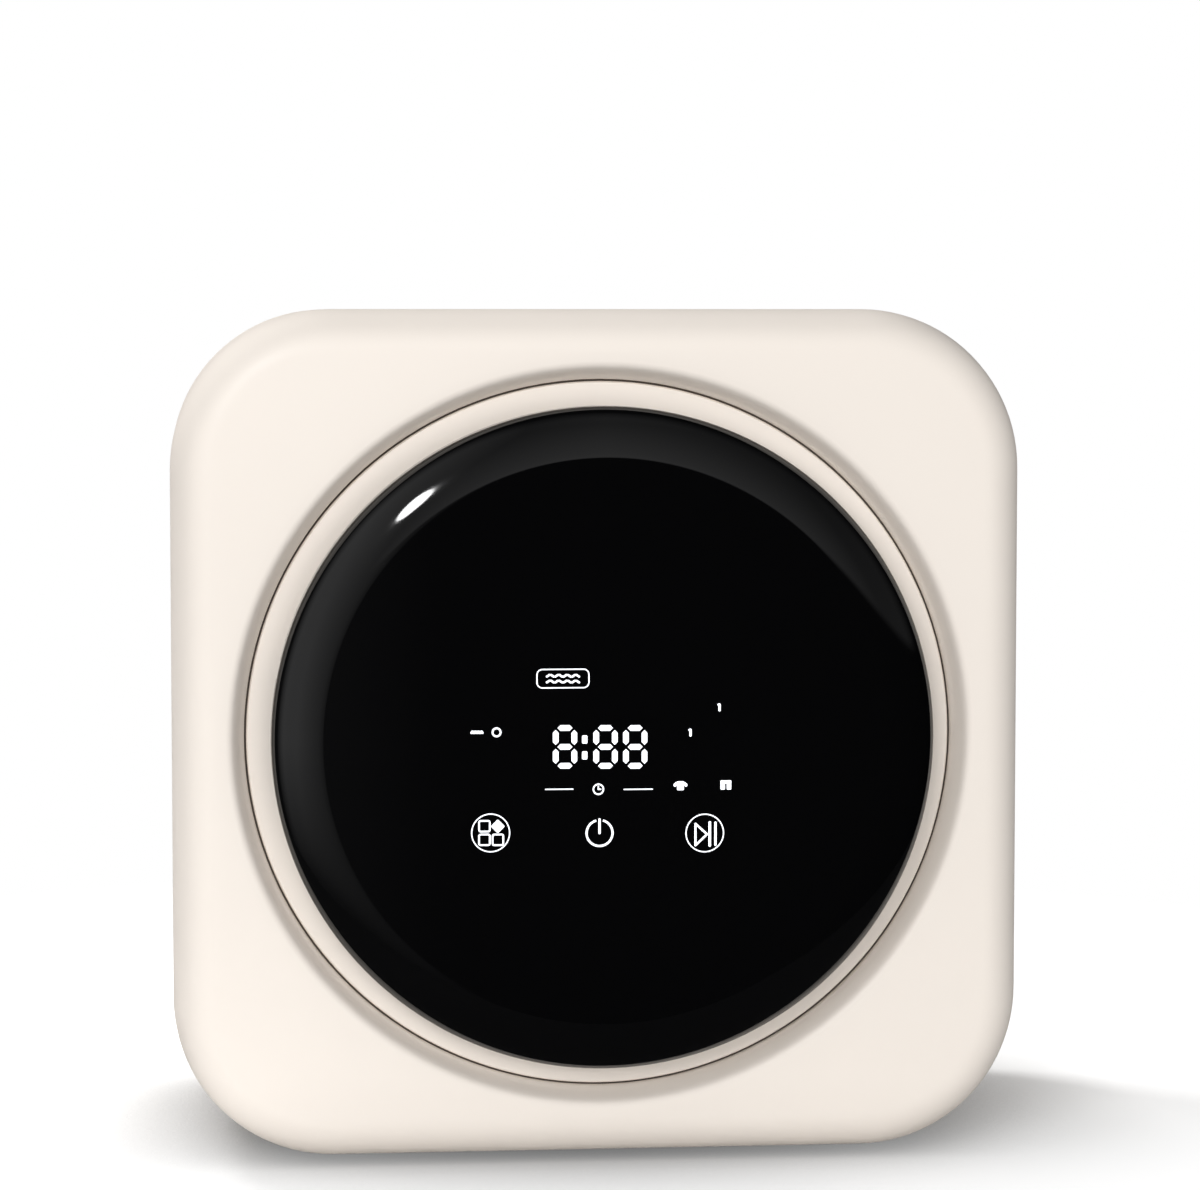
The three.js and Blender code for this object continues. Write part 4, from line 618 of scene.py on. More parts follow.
# ---- casing ----
def front_shell():
    """The rounded square front with its soft edge, a flat land and the lip that dips to the seam."""
    piece = square_face("front_casing", 0, SPLIT_D)
    extrude(CREST_D - EDGE_DEEP - SPLIT_D)
    round_edge(EDGE_STEPS, EDGE_IN, EDGE_DEEP)
    foot = SEAM_R + SEAM_GAP / 2
    land = min(HALF_W, HALF_H) - EDGE_IN - LAND_CLEAR
    lip = [(land, CREST_D)]
    lip += [(foot + out, CREST_D - down) for out, down in LIP]
    lip += [(foot, MARGIN_D - 1.0), (foot, FLOOR_D)]
    extrude()
    bpy.ops.transform.tosphere(value=1.0)
    object_mode()
    loop = [v.co for v in piece.data.vertices if v.select]
    radius = sum(math.hypot(co.x, co.z - AXIS_Z) for co in loop) / len(loop) / MM
    edit_mode()
    bpy.ops.transform.resize(value=(land / radius, 1, land / radius))
    for here, there in zip(lip, lip[1:]):
        push_loop(*here, *there)
    bpy.ops.mesh.delete(type="FACE")
    object_mode()
    drop_faces(piece, lambda face: face.center.y > y_at(SPLIT_D) - TINY)
    edit(piece)
    close_up()
    thicken(piece, SHELL_WALL)
    return dress(piece, "housing", "casing", ["front_shell"])


def recess_ring():
    """The margin ring, in a lighter copy of the casing cream that is painted light, and the recess floor behind
    the door, with the mouth in its middle.
    """
    rim = PANEL_R
    step = DOOR_R - STEP_IN
    piece = turned("recess_ring", [
        (MOUTH_R, FLOOR_D), (step, FLOOR_D), (step + 1.0, MARGIN_D - 0.8), (step + 1.6, MARGIN_D - 0.2),
        (step + 2.4, MARGIN_D), (rim - 1.6, MARGIN_D), (rim - 0.7, MARGIN_D - 0.25),
        (rim - 0.2, MARGIN_D - 0.9), (rim, MARGIN_D - 1.8), (rim, FLOOR_D - PANEL_WALL),
        (MOUTH_R, FLOOR_D - PANEL_WALL),
    ])
    return dress(piece, "housing", "casing", ["recess_panel"], painted_light_cream)


def seam_painted_shade_strip():
    """A dark strip at the bottom of the seam round the recess, which paints the seam's shade."""
    low, high = PANEL_R + SEAM_CLEAR, SEAM_R + SEAM_GAP / 2 - SEAM_CLEAR
    piece = turned("seam_painted_shade_strip", [
        (low, FLOOR_D + 1.2), (high, FLOOR_D + 1.2), (high, FLOOR_D + 0.2), (low, FLOOR_D + 0.2)])
    return dress(piece, "housing", look=painted_seam_shade)


# ---- door ----
def face_depth(radius):
    """Depth of the door's front at a distance from its centre: a very flat crown."""
    edge = DOOR_R - SHOULDER_IN
    return DOOR_APEX_D - SKIN - CROWN_DROP * (radius / edge) ** 2


def door_shell():
    """The black door: a straight rim, a rounded shoulder that ends in a faint crease, and a flat crown. It is
    hollow behind, with two slots for the ears of the hinge."""
    side_d = DOOR_BACK_D + DOOR_RIM
    edge = DOOR_R - SHOULDER_IN
    last = math.radians(SHOULDER_TURN)
    across = (DOOR_FINE_R - edge) / (1 - math.cos(last))
    rise = (face_depth(edge) - side_d) / math.sin(last)
    profile = [(DOOR_FINE_R - 0.5, DOOR_BACK_D), (DOOR_FINE_R, DOOR_BACK_D + 0.6)]
    for k in range(SHOULDER_STEPS + 1):
        angle = last * k / SHOULDER_STEPS
        profile.append((DOOR_FINE_R - across * (1 - math.cos(angle)), side_d + rise * math.sin(angle)))
    profile.append((edge - 0.4, face_depth(edge - 0.4)))
    for k in reversed(range(CROWN_STEPS)):
        profile.append((edge * k / CROWN_STEPS, face_depth(edge * k / CROWN_STEPS)))
    piece = thicken(turned("door_shell", profile), DOOR_WALL)
    carve(piece, [
        block(-DOOR_FINE_R - 1, HINGE_X, z - EAR_HALF, z + EAR_HALF, DOOR_BACK_D - 1, side_d + 0.3)
        for z in (-EAR_Z, EAR_Z)])
    return dress(piece, "door", "door_black", ["door_panel"])


# ---- lit marks on the door, placed by the photo's pixels ----
SEGMENT = 14.8
SEGMENT_WIDE = 5.7
DIGITS_PX = (565.0, 605.5, 635.2)
DIGIT_PX = 746.9
DIGIT_REACH = (9.3, 18.9)  # a digit's outer bars stand this far from its middle, across and up
COLON_PX = (584.7, 739.5, 755.4)
PILL_PX = (563.0, 678.6, 53.0, 19.6)
CAPTION_PX = 789.3
CAPTION_LINES = ((545.0, 573.5), (623.5, 653.0))
CLOCK_PX = (598.4, 789.3)
SHIRT_PX = (680.5, 785.0)
SHORTS_PX = (726.0, 785.0)
SMALL_WAVE_PX = (477.0, 732.4)
SMALL_RING_PX = (496.6, 732.4)
ONES_PX = ((690.6, 732.7), (719.7, 707.5))
KEY_ROW_PX = 833.1
MODE_PX = 490.7
POWER_PX = 599.6
PLAY_PX = 704.9
KEY_RING = 18.9
LINE = 1.2
ICON_LINE = 1.7
MARK_T = 0.04

lit = []


def flat_mark(width, height):
    """A flat plane at the drum axis, facing out of the door, sized in photo pixels."""
    begin()
    bpy.ops.mesh.primitive_plane_add(size=1, rotation=(math.pi / 2, 0, 0))
    mark = take("mark")
    mark.scale = (width * PX, height * PX, 1)
    place_in_mesh()
    return mark


def put_mark(mark, px, py, turn=0.0):
    """Turns a mark, sets it on the door at a photo pixel and keeps it for the display."""
    pick(mark)
    x, z = door_spot(px, py)
    mark.rotation_euler = (0, -turn, 0)
    mark.location = (x * MM, y_at(DOOR_APEX_D), AXIS_Z + z * MM)
    place_in_mesh()
    lit.append(mark)


def bar_mark(start, end, width, round_steps=4):
    """A bar of light from pixel to pixel, with rounded ends, or pointed ones for a single step."""
    length = math.hypot(end[0] - start[0], end[1] - start[1])
    mark = flat_mark(length, width)
    edit_mode()
    bpy.ops.mesh.bevel(offset=width * 0.49 * PX, segments=round_steps, affect="VERTICES")
    object_mode()
    turn = math.atan2(start[1] - end[1], end[0] - start[0])
    put_mark(mark, (start[0] + end[0]) / 2, (start[1] + end[1]) / 2, turn)


def box_mark(px, py, width, height, corner, line=None, turn=0.0):
    """A rounded rectangle of light, filled, or an outline where a line width is given."""
    mark = flat_mark(width, height)
    edit_mode()
    bpy.ops.mesh.bevel(offset=corner * PX, segments=6, affect="VERTICES")
    if line:
        select_all()
        bpy.ops.mesh.inset(thickness=line * PX)
        bpy.ops.mesh.delete(type="FACE")
    object_mode()
    put_mark(mark, px, py, turn)


def ring_mark(px, py, radius, line, gap=0.0):
    """A ring of light, with a gap at its top where one is given as half an angle in degrees."""
    begin()
    bpy.ops.mesh.primitive_circle_add(
        vertices=72, radius=(radius + line / 2) * PX, rotation=(math.pi / 2, 0, 0))
    mark = take("mark")
    place_in_mesh()
    edit_mode()
    extrude()
    share = (radius - line / 2) / (radius + line / 2)
    bpy.ops.transform.resize(value=(share, 1, share))
    object_mode()
    drop_faces(mark, lambda face: math.degrees(math.atan2(abs(face.center.x), face.center.z)) < gap)
    put_mark(mark, px, py)


def outline_mark(points, line):
    """Bars of light from point to point and back to the first."""
    for here, there in zip(points, [*points[1:], points[0]]):
        stretch_x, stretch_y = there[0] - here[0], there[1] - here[1]
        length = math.hypot(stretch_x, stretch_y)
        over = (stretch_x / length * line / 2, stretch_y / length * line / 2)
        bar_mark((here[0] - over[0], here[1] - over[1]), (there[0] + over[0], there[1] + over[1]), line)


def digit_mark(px):
    """A seven segment digit with every bar lit."""
    across, up = DIGIT_REACH
    half = SEGMENT / 2
    for row in (-up, 0.0, up):
        bar_mark((px - half, DIGIT_PX + row), (px + half, DIGIT_PX + row), SEGMENT_WIDE, 1)
    for side in (px - across, px + across):
        for row in (DIGIT_PX - up / 2, DIGIT_PX + up / 2):
            bar_mark((side, row - half), (side, row + half), SEGMENT_WIDE, 1)


def shirt_mark(px, py):
    """A small shirt: body, and a sleeve to each side."""
    box_mark(px, py + 0.8, 7.0, 9.0, 1.0)
    for side in (-1, 1):
        bar_mark((px + side * 2.5, py - 2.6), (px + side * 6.6, py + 1.2), 3.2)


def shorts_mark(px, py):
    """Small shorts: a waistband over two legs."""
    box_mark(px, py - 3.0, 11.0, 3.2, 0.8)
    for side in (-1, 1):
        box_mark(px + side * 3.1, py + 1.2, 4.6, 7.0, 0.8)


def wave_mark(px, py, width, swing, line):
    """A run of small waves."""
    points = [(px - width / 2 + width * k / 8, py + swing * (-1) ** k) for k in range(9)]
    for here, there in zip(points, points[1:]):
        bar_mark(here, there, line)


def display():
    """Digits, captions and touch keys. They shine through the black door."""
    for px in DIGITS_PX:
        digit_mark(px)
    for py in COLON_PX[1:]:
        box_mark(COLON_PX[0], py, 5.4, 8.2, 1.2)
    box_mark(*PILL_PX, 6.0, LINE)
    for down in (-2.8, 3.0):
        wave_mark(PILL_PX[0], PILL_PX[1] + down, 34.0, 1.4, 2.0)
    for start, end in CAPTION_LINES:
        bar_mark((start, CAPTION_PX), (end, CAPTION_PX), LINE)
    ring_mark(*CLOCK_PX, 5.0, 1.5)
    bar_mark((CLOCK_PX[0], CLOCK_PX[1] - 3.6), (CLOCK_PX[0], CLOCK_PX[1] + 0.7), 1.4)
    bar_mark((CLOCK_PX[0] - 0.6, CLOCK_PX[1]), (CLOCK_PX[0] + 3.0, CLOCK_PX[1]), 1.4)
    shirt_mark(*SHIRT_PX)
    shorts_mark(*SHORTS_PX)
    wave_mark(*SMALL_WAVE_PX, 12.0, 1.6, 2.0)
    ring_mark(*SMALL_RING_PX, 4.0, 1.8)
    for px, py in ONES_PX:
        bar_mark((px, py - 4.0), (px, py + 4.0), 2.3)
        bar_mark((px - 2.2, py - 2.4), (px + 0.3, py - 3.6), 1.6)

    ring_mark(MODE_PX, KEY_ROW_PX, KEY_RING, LINE)
    for px, py in ((-6.2, -6.7), (-6.2, 6.9), (7.3, 6.9)):
        box_mark(MODE_PX + px, KEY_ROW_PX + py, 12.4, 12.4, 2.6, ICON_LINE)
    box_mark(MODE_PX + 7.2, KEY_ROW_PX - 6.6, 10.0, 10.0, 1.2, turn=math.pi / 4)

    ring_mark(POWER_PX, KEY_ROW_PX, 13.0, 2.1, 17.0)
    bar_mark((POWER_PX, 818.2), (POWER_PX, 834.3), 2.3)

    ring_mark(PLAY_PX, KEY_ROW_PX, KEY_RING, LINE)
    outline_mark([(695.6, 823.8), (695.6, 845.4), (707.2, 834.4)], 2.0)
    bar_mark((709.9, 821.2), (709.9, 847.0), 2.6)
    bar_mark((715.6, 821.6), (715.6, 846.2), 2.3)

    begin()
    for mark in lit:
        mark.select_set(True)
    bpy.context.view_layer.objects.active = lit[0]
    bpy.ops.object.join()
    piece = take("display_marks")
    modify(piece, "SHRINKWRAP", target=shell, offset=SKIN * MM, wrap_method="NEAREST_SURFACEPOINT")
    modify(piece, "SOLIDIFY", thickness=MARK_T * MM, offset=-1.0)
    return dress(piece, "door", look=display_light)


# ---- door opening ----
GASKET_RING = [  # radius and depth, from the flange's outer edge round the bellows and the lip
    (106, 236.4), (101.6, 236.4), (101.6, 229.3), (98.6, 222.3), (103.6, 214.3), (111.4, 213.3),
    (111.4, 201), (108.4, 201), (108.4, 210.3), (100.6, 210.3), (95.6, 221.8), (97.7, 231.3),
    (81.5, 233.6), (80, 234.9), (80.6, 236.6), (83, 237.4), (89.5, 237.9), (91, 238.9),
    (97, 239.2), (98, 238.5), (99.2, 238.5), (100.2, 239.2), (104.8, 239.2), (106, 238.1),
]


def gasket():
    """The door gasket: a stepped flange, a soft lip round the mouth and a folded bellows behind it."""
    piece = soften(turned("gasket", GASKET_RING), 0.5, 2, 25)
    return dress(piece, "housing", "gasket_rubber", ["door_gasket"])


# ---- drum ----
DRUM_WALL = 1.5
DRUM_COLUMNS = 120
DRUM_ROWS = 16
DRUM_WALL_D = (DRUM_BACK_D + 6.0, DRUM_FRONT_D - 6.0)
DRUM_MOUTH_R = 106.0
DRUM_EDGE = [(130.2, 3.5), (127.5, 1.0), (124.0, 0.0)]  # radius and depth inwards from the drum's end
HOLE_EVERY = 4  # columns from one water hole to the next in a row
HOLE_INSET = 1.75
HOLE_CORNER = 0.95
HOLE_CORNERS = 8
LIFTER_EVERY = 120  # degrees
LIFTER_TURN = 30
LIFTER_HALF = 19.0
CHANNEL_W = 7.0
CHANNEL_FLAT = 0.04  # the channel's height, as a share of the plate's
CHANNEL_CLEAR = 0.12
SPIDER_HOLE_R = 5.0


def is_hole(face, near):
    """Whether a face is on the drum's wall, within a distance in millimetres of where a water hole goes. The
    holes stand in rows, each a little turned from the last, and stay clear of the lifters."""
    x, z = face.center.x, face.center.z - AXIS_Z
    step = 360 / DRUM_COLUMNS
    turn = math.degrees(math.atan2(z, x)) % 360
    column = math.floor(turn / step)
    row_high = (DRUM_WALL_D[1] - DRUM_WALL_D[0]) / DRUM_ROWS
    up = ((WALL_Y - face.center.y) / MM - DRUM_WALL_D[0]) / row_high
    row = math.floor(up)
    aside = math.radians((turn / step - column - 0.5) * step) * DRUM_R
    off = math.hypot(aside, (up - row - 0.5) * row_high)
    half = LIFTER_EVERY / 2
    between = math.radians(abs((turn - LIFTER_TURN) % LIFTER_EVERY - half)) * DRUM_R
    return (
        math.hypot(x, z) > (DRUM_R - 1) * MM and off < near
        and (column + 2 * row) % HOLE_EVERY == 0 and 0 < row < DRUM_ROWS - 1
        and between < math.radians(half) * DRUM_R - LIFTER_HALF)


def drum():
    """The steel drum: a flat back, a rounded edge, a wall with rows of water holes and a rolled mouth."""
    first, last = DRUM_WALL_D
    wall = [(DRUM_R, last + (first - last) * k / DRUM_ROWS) for k in range(DRUM_ROWS + 1)]
    piece = turned("drum_wall", [
        (DRUM_MOUTH_R + 0.8, DRUM_FRONT_D - 7.0), (DRUM_MOUTH_R, DRUM_FRONT_D - 4.0),
        (DRUM_MOUTH_R + 0.8, DRUM_FRONT_D - 1.2), (DRUM_MOUTH_R + 3, DRUM_FRONT_D),
        *[(radius, DRUM_FRONT_D - down) for radius, down in reversed(DRUM_EDGE)], *wall,
        *[(radius, DRUM_BACK_D + down) for radius, down in DRUM_EDGE], (60.0, DRUM_BACK_D), (0, DRUM_BACK_D),
    ], DRUM_COLUMNS)
    for face in piece.data.polygons:
        face.select = is_hole(face, 1.0)
    edit(piece, "FACE")
    bpy.ops.mesh.inset(thickness=HOLE_INSET * MM, use_individual=True)
    bpy.ops.mesh.bevel(offset=HOLE_CORNER * MM, segments=1, affect="VERTICES")
    object_mode()
    drop_faces(piece, lambda face: len(face.vertices) == HOLE_CORNERS and is_hole(face, 0.25))
    return dress(thicken(piece, DRUM_WALL), "drum", "stainless", ["drum_shell"])


def mean_y(piece):
    """The mean Y of a piece's points."""
    return sum(v.co.y for v in piece.data.vertices) / len(piece.data.vertices)


def channel():
    """A flat dark band on the drum's back round the three-armed plate, whose dark steel paints shade there."""
    groove = twin(frame["nodes"]["spider_plate"], "arm_channel_painted_shade")
    edit(groove)
    select_all()
    bpy.ops.mesh.remove_doubles(threshold=10 * TINY)
    object_mode()
    spots = [middle_of("spider_screw_" + str(k)) for k in (1, 2, 3)]

    def inner(face):
        away = [math.hypot(face.center.x - x * MM, face.center.z - AXIS_Z - z * MM) for x, z in spots]
        return abs(face.normal.y) > 0.5 or min(away) < SPIDER_HOLE_R * MM

    drop_faces(groove, inner)
    modify(groove, "DISPLACE", direction="NORMAL", mid_level=0.0, strength=CHANNEL_W * MM)
    edit(groove)
    for behind in (True, False):
        select_all("DESELECT")
        bpy.ops.mesh.select_mode(type="VERT")
        object_mode()
        middle = mean_y(groove)
        for vertex in groove.data.vertices:
            vertex.select = (vertex.co.y > middle) == behind
        edit_mode()
        bpy.ops.mesh.edge_face_add()
    select_all()
    bpy.ops.transform.resize(value=(1, CHANNEL_FLAT, 1))
    close_up()
    groove.location = (0, y_at(DRUM_BACK_D + DRUM_WALL + CHANNEL_CLEAR) - mean_y(groove), 0)
    pick(groove)
    place_in_mesh()
    return dress(groove, "drum", look=painted_shade_steel)


# ---- door's inner side ----
FRAME_RING = [  # radius and depth, from the outer edge in towards the bowl, and back behind
    (150.2, 252), (148, 252), (146.8, 251.2), (143, 246.8), (141.5, 246), (118.8, 246), (117.9, 245.5),
    (117, 243.6), (116, 243), (84, 243), (83, 244), (83, 246), (115.2, 246), (116.6, 248.8),
    (140.6, 249), (146.7, 255), (150.2, 255),
]
THROUGH_D = (200, 300)  # depths that a cut through the door's inner side reaches over
LATCH_HALF = 39.5
LATCH_NECK = (122, 15)  # how near the axis the latch's neck reaches, and half its height
HINGE_POCKET = (24, 37.7)  # how far the hinge's pocket reaches past the pin, and half its height
LUG_WALL = 5.0
LUG_D = (246.5, 256)
FRAME_HOLE_R = 1.9
BOWL_R = 79.0
BOWL_RIM_D = 245.6
BOWL_DEEP = 47.2
BOWL_FLANGE = [(95, BOWL_RIM_D + 0.8), (81.5, BOWL_RIM_D + 0.8), (79.6, BOWL_RIM_D)]
BOWL_FORM = (0.7, 1.2)  # powers of cosine and sine: a full shoulder and a flat crown
BOWL_STEPS = 24
BOWL_WALL = 2.8


def inner_frame():
    """The white frame of the door's inner side: a dished ring, a raised ring round the bowl, pockets for the
    latch and the hinge, and two lugs for the latch pin."""
    piece = soften(turned("inner_frame", FRAME_RING), 0.3, 2, 25)
    pin_x = middle_of("latch_pin")[0]
    neck_x, neck_half = LATCH_NECK
    reach_x, pocket_half = HINGE_POCKET
    cuts = [
        block(pin_x - LUG_WALL, DOOR_R, -LATCH_HALF, LATCH_HALF, *THROUGH_D),
        block(neck_x, pin_x, -neck_half, neck_half, *THROUGH_D),
        block(-DOOR_R, HINGE_X + reach_x, -pocket_half, pocket_half, *THROUGH_D)]
    for k in range(1, 7):
        cuts.append(rod(FRAME_HOLE_R, *THROUGH_D, *middle_of("door_screw_" + str(k)), 24))
    carve(piece, cuts)
    for low in (-LATCH_HALF - LUG_WALL, LATCH_HALF):
        lug = block(pin_x - LUG_WALL, pin_x + 4, low, low + LUG_WALL, *LUG_D)
        carve(piece, [soften(lug, 0.8)], "UNION")
    return dress(piece, "door", "white_plastic", ["door_frame"])


def bowl():
    """The clear bowl of the door with its flange, that reaches into the drum's mouth."""
    profile = list(BOWL_FLANGE)
    for k in range(1, BOWL_STEPS):
        angle = math.pi / 2 * k / BOWL_STEPS
        profile.append((
            BOWL_R * math.cos(angle) ** BOWL_FORM[0], BOWL_RIM_D - BOWL_DEEP * math.sin(angle) ** BOWL_FORM[1]))
    profile.append((0, BOWL_RIM_D - BOWL_DEEP))
    piece = thicken(turned("bowl", profile, 144), BOWL_WALL)
    return dress(piece, "door", "clear_dome", ["door_dome"], angle=60)


# ---- screws ----
SHANK = 0.45  # the shank's radius, as a share of the head's
CROSS = (0.16, 0.58, 0.75)  # half the slot's width, its reach and its depth, as shares of the head


def screws(first, count, body, slot, look, head_r, head_t, washer=False):
    """Pan head screws with a cross recess, or a washer and a socket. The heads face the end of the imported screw
    that is the wider one."""
    for k in range(1, count + 1):
        node = first + str(k)
        x, z = middle_of(node)
        near, far = depths(node)
        at_wall = [v.co for v in frame["nodes"][node].data.vertices if v.co.y > y_at(near + 0.1)]
        wide = max(math.hypot(co.x - x * MM, co.z - AXIS_Z - z * MM) for co in at_wall) / MM
        tip, top, way = (far, near, -1) if wide > head_r * 0.6 else (near, far, 1)
        seat = top - way * head_t
        if washer:
            shares = [
                (1, seat), (1, seat + way * 1.2), (0.74, seat + way * 1.5), (0.70, seat + way * 0.7),
                (0.62, seat + way * 0.7), (0.58, top - way * 0.5), (0.5, top), (0.32, top),
                (0.28, seat + way), (0, seat + way)]
        else:
            shares = [
                (0.96, seat), (1, seat + way * head_t * 0.3), (0.93, seat + way * head_t * 0.62),
                (0.75, seat + way * head_t * 0.88), (0.4, top), (0, top)]
        profile = [(share * head_r, depth) for share, depth in [(SHANK, tip), (SHANK, seat), *shares]]
        piece = turned(node + "_fine", profile, 32, x, z, capped=True)
        if not washer:
            wide, arm, deep = CROSS[0] * head_r, CROSS[1] * head_r, CROSS[2] * head_t
            ends = sorted((top + way, top - way * deep))
            carve(piece, [
                block(x - arm, x + arm, z - wide, z + wide, *ends),
                block(x - wide, x + wide, z - arm, z + arm, *ends)])
        dress(piece, body, slot, [node], look, 30)


# ---- back ----
REAR_STEP = 6.0
BACK_ROUND = 14.0
BACK_STEPS = 8
LAP_CLEAR = (0.3, 0.4)  # between the lap flange and the front shell, aside and in depth
SERVICE_X = 131.0  # middle of a service recess, across and up
SERVICE_HALF = 22.0
SERVICE_D = 30.3
SERVICE_WALL = 2.5
LOW_RECESS_END = -77.0
GLAND_X = -92.0
PORTS = ((SERVICE_X, SERVICE_X, 10.8), (-SERVICE_X, -SERVICE_X, 10.3), (GLAND_X, -SERVICE_X, 6.3))
WELL_OUT_R, WELL_R, WELL_HOLE_R = 6.5, 4.2, 2.1
WELL_END_D = 60.0
WELL_SEAT_D = 54.0
HOOK_X = 60.0
HOOK_HALF = 12.2
HOOK_Z = (66.9, 86.9)
VENT_X = (114.4, 148.4)
VENT_Z = -134.4
VENT_PITCH = 7.0
VENT_HALF = 1.5


def rear_solid(name, inset, first, last, rounding):
    """A rounded square block from one depth to another, with its edge towards the wall rounded."""
    piece = square_face(name, inset, last, -math.pi / 2)
    extrude(first + rounding - last)
    round_edge(BACK_STEPS, rounding, rounding)
    close_up()
    return piece


def rear_shell():
    """The stepped back of the housing with its service recesses, vents, hook slots and screw wells."""
    outer = rear_solid("rear_casing", REAR_STEP, REAR_D, REAR_END_D, BACK_ROUND)
    lap = square_face("lap", SHELL_WALL + LAP_CLEAR[0], REAR_END_D, -math.pi / 2)
    extrude(SPLIT_D + LAP_CLEAR[1] - REAR_END_D)
    close_up()
    carve(outer, [lap], "UNION")
    carve(outer, [rear_solid(
        "room", REAR_STEP + SHELL_WALL, REAR_D + SHELL_WALL, REAR_END_D + 1, BACK_ROUND - SHELL_WALL)])
    low, high, wall = SERVICE_X - SERVICE_HALF, SERVICE_X + SERVICE_HALF, SERVICE_WALL
    for x0, x1, z0, z1 in ((low, high, low, high), (-high, LOW_RECESS_END, -high, -low)):
        around = block(x0 - wall, x1 + wall, z0 - wall, z1 + wall, REAR_D + 1, SERVICE_D + wall)
        carve(outer, [around], "UNION")
        carve(outer, [soften(block(x0, x1, z0, z1, REAR_D - 9, SERVICE_D), 3.0, 4)])
    cuts = []
    for k in (1, 2, 3, 4):
        spot = middle_of("housing_screw_" + str(k))
        carve(outer, [rod(WELL_OUT_R, REAR_D + 1, WELL_END_D, *spot, 40)], "UNION")
        cuts.append(rod(WELL_R, -1, WELL_SEAT_D, *spot, 40))
        cuts.append(rod(WELL_HOLE_R, WELL_SEAT_D - 4, WELL_END_D + 1, *spot, 24))
    for x, z, radius in PORTS:
        cuts.append(rod(radius, SERVICE_D - 1, SERVICE_D + wall + 1, x, z))
    skin = (REAR_D - 1, REAR_D + SHELL_WALL + 1)
    for x in (-HOOK_X, HOOK_X):
        cuts.append(block(x - HOOK_HALF, x + HOOK_HALF, *HOOK_Z, *skin))
    for row in (-2, -1, 0, 1, 2):
        z = VENT_Z + VENT_PITCH * row
        cuts.append(soften(block(*VENT_X, z - VENT_HALF, z + VENT_HALF, *skin), 1.2, 3))
    carve(outer, cuts)
    return dress(outer, "housing", "casing", ["rear_shell"])


def hose_ports():
    """The threaded water inlet with its strainer seat and the ribbed cord gland."""
    first = depths("inlet_valve")[0]
    seat = SERVICE_D + SERVICE_WALL + 0.3
    thread = []
    for k in range(7):
        turn = first + 1.8 * k
        thread += [(9.9, turn + 0.8), (10.5, turn + 1.4), (10.5, turn + 1.9), (9.9, turn + 2.4)]
    piece = turned("inlet_port", [
        (7.0, seat - 8), (7.0, first + 0.3), (7.4, first), (9.4, first), *thread, (10.4, seat - 3),
        (10.4, seat), (16.4, seat), (16.4, seat + 4), (13, seat + 4), (13, seat + 36), (7, seat + 36),
        (7, seat + 46), (0, seat + 46),
    ], 64, *middle_of("inlet_valve"), capped=True)
    dress(piece, "housing", "white_plastic", ["inlet_valve"], angle=25)

    first, last = depths("cord_gland")
    face = SERVICE_D - 0.3
    piece = turned("gland", [
        (5.9, last), (5.9, face), (11.0, face), (11.0, face - 4.5), (10.2, face - 5.2), (8.2, face - 5.6),
        (8.2, face - 8.0), (7.4, face - 8.4), (7.4, face - 10.0), (8.0, face - 10.4), (8.0, face - 12.0),
        (7.0, face - 12.4), (7.0, face - 14.0), (7.6, face - 14.4), (7.6, face - 16.0), (6.6, face - 16.4),
        (6.0, first), (3.6, first), (3.4, first + 4.0), (0, first + 4.0),
    ], 64, *middle_of("cord_gland"), capped=True)
    return dress(piece, "housing", "black_rubber", ["cord_gland"], angle=25)


# ---- feet ----
FOOT_SIDES = 96
FOOT_TREAD = ((0.8, 0.0), (0.98, 0.0008), (0.35, 0.0), (0.9, -0.0005))  # each step's share of the last and rise


def foot(name):
    """A pale rubber foot: a rounded pad with a ring of tread under it."""
    low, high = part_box(name)
    begin()
    bpy.ops.mesh.primitive_cylinder_add(
        vertices=FOOT_SIDES, radius=(high.x - low.x) / 2, depth=high.z - low.z, location=(low + high) / 2)
    piece = take(name + "_pad")
    place_in_mesh()
    edit_mode()
    for share, rise in FOOT_TREAD:
        select_all("DESELECT")
        object_mode()
        flat = [f for f in piece.data.polygons if len(f.vertices) == FOOT_SIDES and f.normal.z < -0.9]
        flat[-1].select = True
        edit_mode()
        bpy.ops.mesh.select_mode(type="FACE")
        bpy.ops.mesh.extrude_region_move(TRANSFORM_OT_translate={"value": (0, 0, rise)})
        bpy.ops.transform.resize(value=(share, share, 1))
    close_up()
    soften(piece, 0.7, 3, 50)
    return dress(piece, "housing", "foot_rubber", [name])


# ---- stage ----
FLOOR_R = 0.62
FLOOR_Y = 0.28
FLOOR_GREY = (0.9, 0.9, 0.9)
FLOOR_LIFT = 0.04  # added for the camera alone, so that the open floor is white
FLOOR_SEEN = 1.3  # the floor's share of light for the camera alone
FLOOR_FADE = (0.45, 0.97)  # where the floor starts and ends to glow, as shares of its radius
FLOOR_MIRRORED = (0.98, 0.02)  # how much of the floor a glossy ray misses, and what it sees in its place
PAINTED_SHADE_REACH = 0.11  # how near the body the painted contact shadow darkens the floor, in metres
PAINTED_SHADE_DEPTH = 1.2
SOFT_LAMPS = (  # name, place, width and power
    ("key", (-0.62, -1.85, 0.78), 0.8, 17.0),
    ("fill", (0.4, -1.9, 0.1), 0.8, 7.0),
    ("over", (-0.8, 0.85, 1.25), 0.45, 16.0),
)
STREAK_PLACE = (-0.79, -1.64, 1.22)
STREAK_AIM = (-0.088, -0.128, 0.3115)
STREAK_SIZE = (0.24, 0.4)
STREAK_POWER = 9.5
STREAK_ROLL = 38.7


def area_light(name, place, aim, width, height, power, shape="RECTANGLE"):
    """A flat lamp that faces a point."""
    data = bpy.data.lights.new(name, "AREA")
    data.shape = shape
    data.size = width
    data.size_y = height
    data.energy = power
    return aimed(name, data, place, aim)


